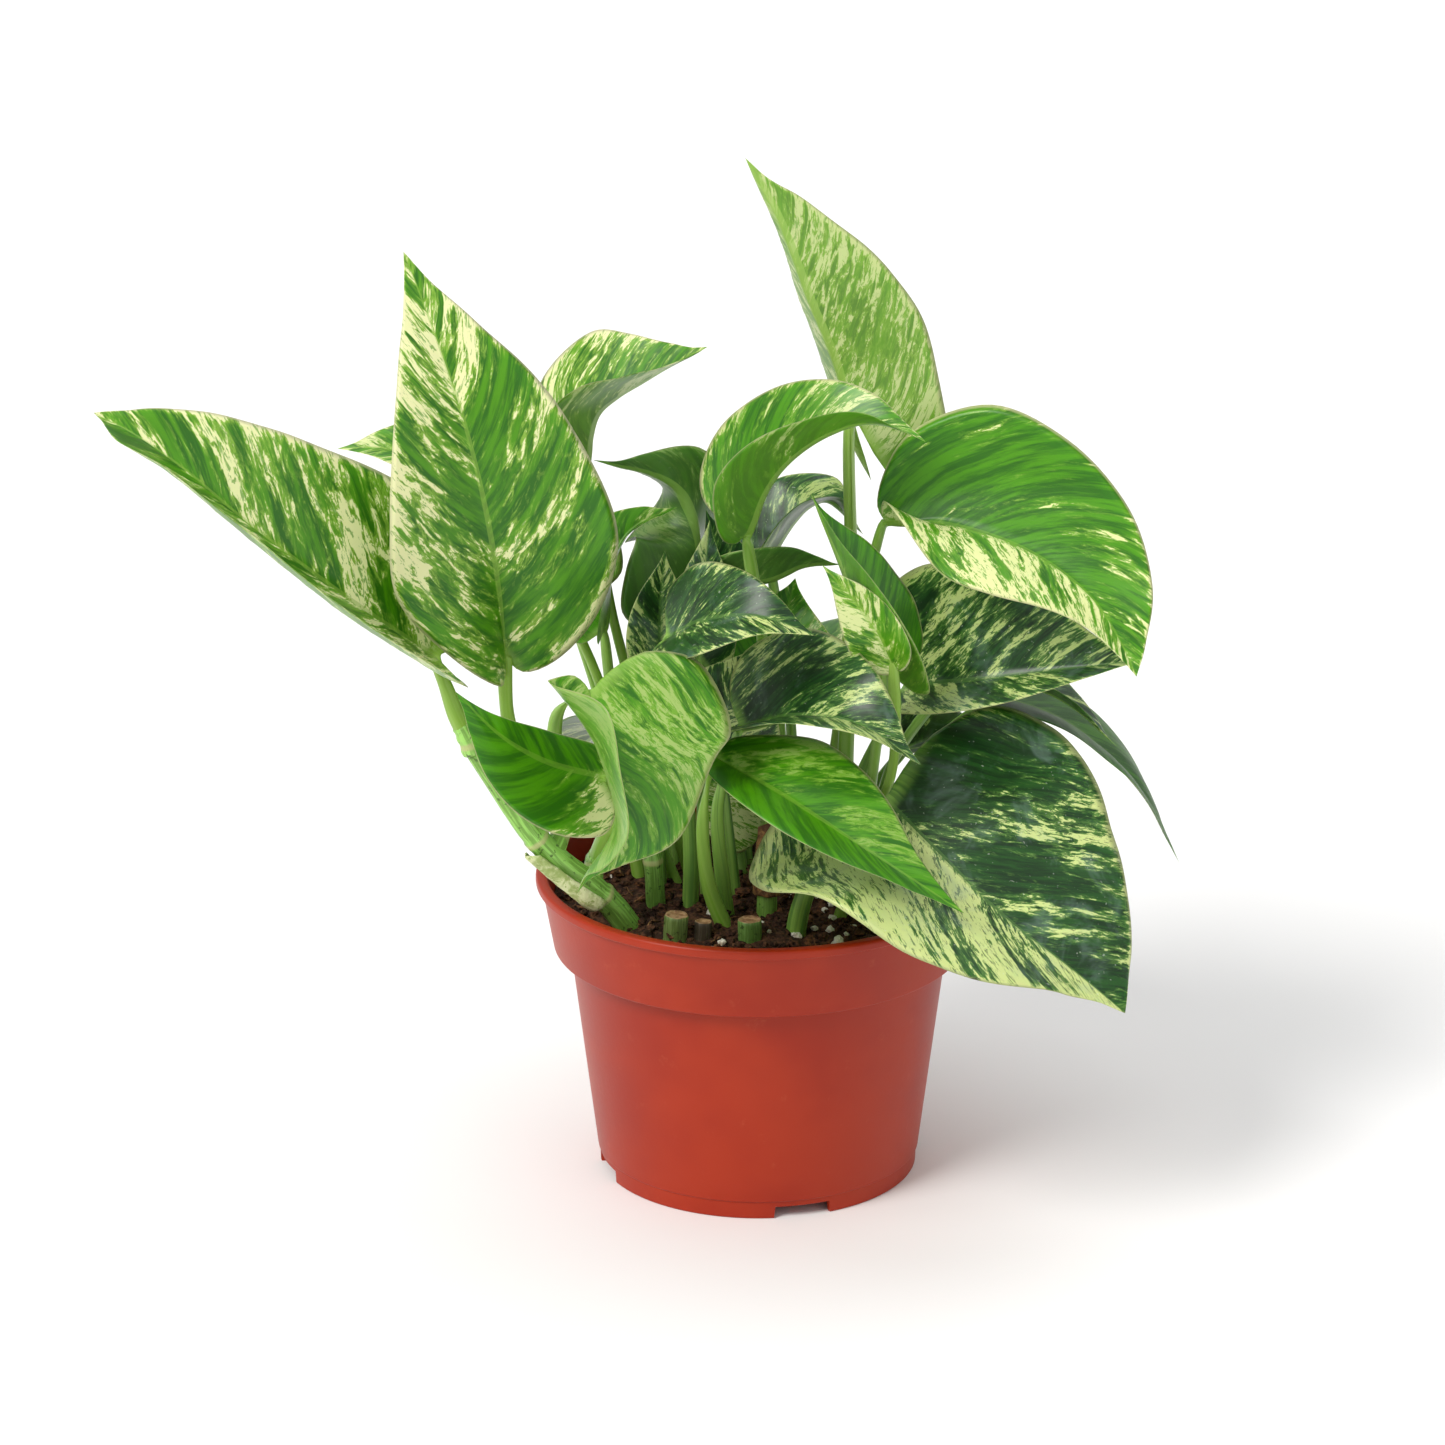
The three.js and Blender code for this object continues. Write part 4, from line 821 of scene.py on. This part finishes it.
def pot_profile():
    collar = POT_HEIGHT - COLLAR_HEIGHT
    lip = POT_HEIGHT - LIP_HEIGHT
    foot = RIM_RADIUS - FOOT_INSET
    corners = [
        (0, FLOOR_UNDER, 0),
        (foot - 1.6 * MM, FLOOR_UNDER, 0.5 * MM),
        (foot - 1.6 * MM, 0, 0.3 * MM),
        (foot, 0, 0.5 * MM),
        (foot + 0.1 * MM, FOOT_HEIGHT, 0.15 * MM),
        (body_radius(FOOT_HEIGHT), FOOT_HEIGHT + 0.3 * MM, 0.25 * MM),
        (RIM_RADIUS - BODY_TOP_INSET, collar - 0.4 * MM, 0.3 * MM),
        (RIM_RADIUS - COLLAR_BOTTOM_INSET, collar, 0.6 * MM),
        (RIM_RADIUS - COLLAR_TOP_INSET, lip - 0.1 * MM, 0.25 * MM),
        (RIM_RADIUS, lip, 0.5 * MM),
        (RIM_RADIUS, POT_HEIGHT, 1.0 * MM),
        (RIM_RADIUS - COLLAR_TOP_INSET - WALL, POT_HEIGHT, 0.8 * MM),
        (RIM_RADIUS - COLLAR_BOTTOM_INSET - WALL, collar + WALL, 0.5 * MM),
        (RIM_RADIUS - BODY_TOP_INSET - WALL, collar - 1 * MM, 0.5 * MM),
        (body_radius(FLOOR_TOP) - WALL, FLOOR_TOP, 1.2 * MM),
        (0, FLOOR_TOP, 0),
    ]
    return rounded(corners, CORNER_STEPS)


def notch_angles():
    """Angles round the pot: even steps, with a close pair at each side of a foot notch."""
    half = NOTCH_WIDTH / 2 / (RIM_RADIUS - FOOT_INSET)
    draft = 0.35 * MM / (RIM_RADIUS - FOOT_INSET)
    sides = []
    for i in range(NOTCH_COUNT):
        middle = NOTCH_FIRST + 2 * math.pi * i / NOTCH_COUNT
        sides += [(middle - half, -1), (middle + half, 1)]
    angles = []
    step = 2 * math.pi / POT_SEGMENTS
    for k in range(POT_SEGMENTS):
        a = k * step
        near = min(abs(math.remainder(a - side, 2 * math.pi)) for side, _ in sides)
        if near > step * 0.45:
            angles.append((a, None))
    for side, sign in sides:
        angles.append((side % (2 * math.pi), 0.0 if sign < 0 else 1.0))
        inner = side - sign * draft
        angles.append((inner % (2 * math.pi), 1.0 if sign < 0 else 0.0))
    made = []
    for a, _ in sorted(angles):
        turns = (a - NOTCH_FIRST - 2 * math.pi * i / NOTCH_COUNT for i in range(NOTCH_COUNT))
        made.append((a, any(abs(math.remainder(t, 2 * math.pi)) < half - draft / 2 for t in turns)))
    return made


def build_pot():
    profile = pot_profile()
    angles = notch_angles()
    shape = bmesh.new()
    rings = []
    for r, z in profile:
        if r == 0:
            rings.append([shape.verts.new(AXIS + Vector((0, 0, z)))])
            continue
        ring = []
        for a, notched in angles:
            height = max(z, NOTCH_HEIGHT) if notched else z
            ring.append(shape.verts.new(AXIS + Vector((r * math.cos(a), r * math.sin(a), height))))
        rings.append(ring)
    count = len(angles)
    for low, high in zip(rings, rings[1:]):
        for k in range(count):
            following = (k + 1) % count
            if len(low) == 1:
                shape.faces.new((low[0], high[following], high[k]))
            elif len(high) == 1:
                shape.faces.new((low[k], low[following], high[0]))
            else:
                shape.faces.new((low[k], low[following], high[following], high[k]))
    bmesh.ops.recalc_face_normals(shape, faces=shape.faces)
    mesh = bpy.data.meshes.new("pot_moulding")
    shape.to_mesh(mesh)
    shape.free()
    piece = place_piece("pot_moulding", mesh, pot_material(), "terracotta_plastic", "pot")
    drill(piece)
    smooth_by_angle(piece.data, CRISP_ABOVE)


def drill(piece):
    """The drain holes through the floor, cut and applied."""
    shape = bmesh.new()
    for i in range(DRAIN_COUNT):
        a = 2 * math.pi * i / DRAIN_COUNT
        made = bmesh.ops.create_cone(
            shape, cap_ends=True, segments=32, radius1=DRAIN_RADIUS, radius2=DRAIN_RADIUS, depth=8 * MM
        )
        place = AXIS + Vector((DRAIN_PITCH * math.cos(a), DRAIN_PITCH * math.sin(a), FLOOR_TOP))
        bmesh.ops.translate(shape, verts=made["verts"], vec=place)
    mesh = bpy.data.meshes.new("drills")
    shape.to_mesh(mesh)
    shape.free()
    tool = bpy.data.objects.new("drills", mesh)
    bpy.context.scene.collection.objects.link(tool)
    cut = piece.modifiers.new("drain", "BOOLEAN")
    cut.operation = "DIFFERENCE"
    cut.object = tool
    cut.solver = "EXACT"
    depsgraph = bpy.context.evaluated_depsgraph_get()
    drilled = bpy.data.meshes.new_from_object(piece.evaluated_get(depsgraph), depsgraph=depsgraph)
    piece.modifiers.clear()
    piece.data = drilled
    bpy.data.objects.remove(tool)


def smooth_by_angle(mesh, degrees):
    """Smooth faces, with edges sharper than this kept crisp."""
    shape = bmesh.new()
    shape.from_mesh(mesh)
    limit = math.radians(degrees)
    for face in shape.faces:
        face.smooth = True
    for edge in shape.edges:
        edge.smooth = len(edge.link_faces) == 2 and edge.calc_face_angle(0) < limit
    shape.to_mesh(mesh)
    shape.free()


def pot_material():
    made = Finish("terracotta_plastic", 0.36, 0.32)
    place = made.object_place()
    cloud = made.noise(place, 26.0, 3.0)
    grain = made.noise(place, 900.0, 3.0)
    dust = made.noise(place, 140.0, 5.0, 0.7)
    colour = made.mix(made.between(cloud, 0.35, 0.65), rgb(152, 34, 2), rgb(164, 44, 8))
    colour = made.mix(made.maths("MULTIPLY", made.between(dust, 0.6, 0.75), 0.18), colour, rgb(200, 100, 66))
    made.set("Base Color", colour)
    smear = made.maths("MULTIPLY_ADD", cloud, 0.14, 0.3)
    made.set("Roughness", made.maths("MULTIPLY_ADD", grain, 0.06, smear))
    made.bump(grain, 0.05 * MM, 0.35)
    made.set("Subsurface Weight", 0.05)
    made.set("Subsurface Radius", (1.0, 0.3, 0.1))
    made.set("Subsurface Scale", 1.2 * MM)
    return made.material


# ---- Potting mix ----------------------------------------------------------------------------
SOIL_BELOW_RIM = 7.5 * MM
SOIL_CROWN = 2.5 * MM
SOIL_AROUND = 180
SOIL_RINGS = 64
SOIL_GAP = 0.3 * MM
CRUMBS = 900
CHIPS = 90
FIBRES = 60
FIBRE_STEPS = 9
FIBRE_SIDES = 6
PERLITE = 60


def inner_radius(z):
    collar = POT_HEIGHT - COLLAR_HEIGHT
    return (collar_radius(z) if z > collar else body_radius(z)) - WALL


SOIL_EDGE = POT_HEIGHT - SOIL_BELOW_RIM
SOIL_RADIUS = inner_radius(SOIL_EDGE) - SOIL_GAP


def soil_height(x, y):
    """Height of the mix at a place from the pot's axis."""
    inward = 1 - min(1, math.hypot(x, y) / SOIL_RADIUS) ** 2
    mx, my = x / MM, y / MM
    lumps = math.sin(0.23 * mx + 1.1) * math.cos(0.19 * my - 0.4) + 0.6 * math.sin(0.41 * my + 0.31 * mx)
    rough = 0.0
    for size, depth in ((6.5, 0.9), (2.6, 0.8), (1.2, 0.45)):
        p = Vector((mx / size, my / size, size))
        rough += depth * noise.noise(p)
    return SOIL_EDGE + SOIL_CROWN * inward + (0.5 * lumps + rough) * MM


def build_soil():
    rows = []
    angles = 2 * math.pi * np.arange(SOIL_AROUND) / SOIL_AROUND

    def ring(radius, height=None):
        made = []
        for a in angles:
            x, y = radius * math.cos(a), radius * math.sin(a)
            z = soil_height(x, y) if height is None else height
            made.append(tuple(AXIS + Vector((x, y, z))))
        rows.append(made)

    collar = POT_HEIGHT - COLLAR_HEIGHT
    foot = FLOOR_TOP + SOIL_GAP
    ring(inner_radius(foot) - 2.2 * MM, foot)
    ring(inner_radius(foot + 1.5 * MM) - SOIL_GAP, foot + 1.5 * MM)
    ring(inner_radius(collar - 1 * MM) - SOIL_GAP, collar - 1 * MM)
    ring(RIM_RADIUS - COLLAR_BOTTOM_INSET - WALL - SOIL_GAP, collar + WALL + 0.4 * MM)
    ring(inner_radius(SOIL_EDGE - 2 * MM) - SOIL_GAP, SOIL_EDGE - 2 * MM)
    for i in range(SOIL_RINGS, 0, -1):
        ring((SOIL_RADIUS - 0.1 * MM) * i / SOIL_RINGS)
    start = AXIS + Vector((0, 0, foot))
    end = AXIS + Vector((0, 0, soil_height(0, 0)))
    mesh = closed_tube("soil_bed", np.array(rows), start, end)
    material = soil_material("potting_mix", rgb(52, 32, 22), rgb(96, 64, 44))
    place_piece("soil_bed", mesh, material, "potting_mix", "soil")


def soil_material(name, dark, light):
    made = Finish(name, 0.9, 0.25)
    place = made.object_place()
    lumps = made.noise(place, 420.0, 5.0, 0.7)
    crumbs = made.cells(place, 700.0)
    colour = made.mix(made.between(lumps, 0.38, 0.64), dark, light)
    colour = made.mix(made.between(crumbs, 0.5, 0.2), colour, dark)
    made.set("Base Color", colour)
    made.bump(made.maths("ADD", lumps, crumbs), 0.8 * MM, 0.9)
    return made.material


def perlite_material():
    made = Finish("perlite", 0.85, 0.3)
    place = made.object_place()
    pores = made.cells(place, 1500.0)
    stain = made.noise(place, 300.0, 3.0)
    colour = made.mix(made.between(stain, 0.5, 0.7), rgb(232, 228, 214), rgb(176, 158, 132))
    made.set("Base Color", colour)
    made.bump(pores, 0.4 * MM, 0.8)
    return made.material


def lump(shape, rng, place, size, squash, detail, rough=0.3):
    """One irregular lump, added to a mesh."""
    made = bmesh.ops.create_icosphere(shape, subdivisions=detail, radius=1.0)
    turn = Vector((rng.uniform(-9, 9), rng.uniform(-9, 9), rng.uniform(-9, 9)))
    tilt = rng.uniform(0, math.tau)
    lean = rng.uniform(-0.7, 0.7)
    for v in made["verts"]:
        p = v.co.copy()
        grow = 1 + rough * noise.noise(p * 1.7 + turn) * 2
        p = Vector((p.x * squash[0], p.y * squash[1], p.z * squash[2])) * grow * size
        x = p.x * math.cos(lean) - p.z * math.sin(lean)
        z = p.x * math.sin(lean) + p.z * math.cos(lean)
        turned_x = x * math.cos(tilt) - p.y * math.sin(tilt)
        turned_y = x * math.sin(tilt) + p.y * math.cos(tilt)
        v.co = place + Vector((turned_x, turned_y, z))


def scatter(rng, reach):
    """A place on the mix, from the pot's axis."""
    radius = SOIL_RADIUS * reach * math.sqrt(rng.random())
    angle = rng.uniform(0, math.tau)
    x, y = radius * math.cos(angle), radius * math.sin(angle)
    return Vector((x, y, soil_height(x, y)))


def build_fibres():
    """Fine roots and bark threads lying on the mix, each a thin bent tube."""
    rng = random.Random(9)
    joined = bmesh.new()
    for _ in range(FIBRES):
        place = scatter(rng, 0.9)
        heading = rng.uniform(0, math.tau)
        length = rng.uniform(3.5, 10) * MM
        radius = rng.uniform(0.14, 0.3) * MM
        bend = rng.uniform(-1.3, 1.3)
        rings = []
        middle = place.copy()
        for i in range(FIBRE_STEPS + 1):
            angle = heading + bend * math.sin(2.2 * i / FIBRE_STEPS)
            ahead = Vector((math.cos(angle), math.sin(angle), 0))
            side = Vector((-ahead.y, ahead.x, 0))
            if i:
                middle = middle + ahead * length / FIBRE_STEPS
            arch = math.sin(math.pi * i / FIBRE_STEPS) * length * 0.12
            reach = min(1, SOIL_RADIUS * 0.95 / math.hypot(middle.x, middle.y))
            x, y = middle.x * reach, middle.y * reach
            centre = AXIS + Vector((x, y, soil_height(x, y) + radius * 1.4 + arch))
            thin = radius * (1 - 0.6 * (i / FIBRE_STEPS) ** 2)
            ring = []
            for k in range(FIBRE_SIDES):
                turn = 2 * math.pi * k / FIBRE_SIDES
                ring.append(centre + side * thin * math.cos(turn) + Vector((0, 0, thin * math.sin(turn))))
            rings.append(ring)
        start, end = (ring[0].lerp(ring[FIBRE_SIDES // 2], 0.5) for ring in (rings[0], rings[-1]))
        mesh = closed_tube("fibre", np.array(rings), start, end)
        joined.from_mesh(mesh)
        bpy.data.meshes.remove(mesh)
    bmesh.ops.recalc_face_normals(joined, faces=joined.faces)
    mesh = bpy.data.meshes.new("soil_fibres")
    joined.to_mesh(mesh)
    joined.free()
    material = soil_material("fibres", rgb(78, 50, 32), rgb(158, 118, 78))
    place_piece("soil_fibres", mesh, material, "potting_mix")


def build_litter():
    rng = random.Random(4)
    crumbs = soil_material("crumbs", rgb(44, 27, 19), rgb(104, 70, 48))
    bark = soil_material("bark", rgb(62, 36, 22), rgb(128, 84, 52))
    kinds = [
        ("soil_crumbs", CRUMBS, (0.5, 1.5), (1, 0.85, 0.7), crumbs),
        ("soil_chips", CHIPS, (1.3, 3.0), (1, 0.55, 0.3), bark),
    ]
    for name, count, (least, most), squash, material in kinds:
        shape = bmesh.new()
        for _ in range(count):
            size = rng.uniform(least, most) * MM
            place = AXIS + scatter(rng, 0.955) + Vector((0, 0, size * 0.25))
            lump(shape, rng, place, size, squash, 1 if size < 1.1 * MM else 2)
        mesh = bpy.data.meshes.new(name)
        shape.to_mesh(mesh)
        shape.free()
        place_piece(name, mesh, material, "potting_mix")
    shape = bmesh.new()
    for _ in range(PERLITE):
        size = rng.choice([0.5, 0.7, 0.9, 1.2]) * MM
        place = AXIS + scatter(rng, 0.95) + Vector((0, 0, size * 0.4))
        lump(shape, rng, place, size, (1, 0.9, 0.8), 2, 0.25)
    nodes = sorted(n for n in frame["nodes"] if n.startswith("perlite_"))
    for node in nodes:
        low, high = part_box(node)
        size = (high - low).length / 2 / math.sqrt(3)
        lump(shape, rng, (low + high) / 2, size * 1.02, (1, 0.85, 0.75), 3, 0.22)
    mesh = bpy.data.meshes.new("perlite_grains")
    shape.to_mesh(mesh)
    shape.free()
    place_piece("perlite_grains", mesh, perlite_material(), "perlite", *nodes)


# ---- Making it ------------------------------------------------------------------------------
make_camera()
make_stage()
build_pot()
build_soil()
build_litter()
build_fibres()
for leaf_number, leaf_node in enumerate(LEAF_NODES):
    build_leaf(leaf_number, leaf_node)
for stem_number, (stem_node, stem_look) in enumerate(STEM_LOOKS.items()):
    build_stem(stem_number, stem_node, stem_look)
for sleeve_number, sleeve_node in enumerate(SPRINGING):
    build_sleeve(sleeve_number, sleeve_node)
build_sheath("sheath_left", "sheath", rgb(206, 214, 160), rgb(150, 170, 96), 1.0)
build_sheath("sheath_brown", "sheath", rgb(160, 116, 70), rgb(86, 54, 32), 2.0)
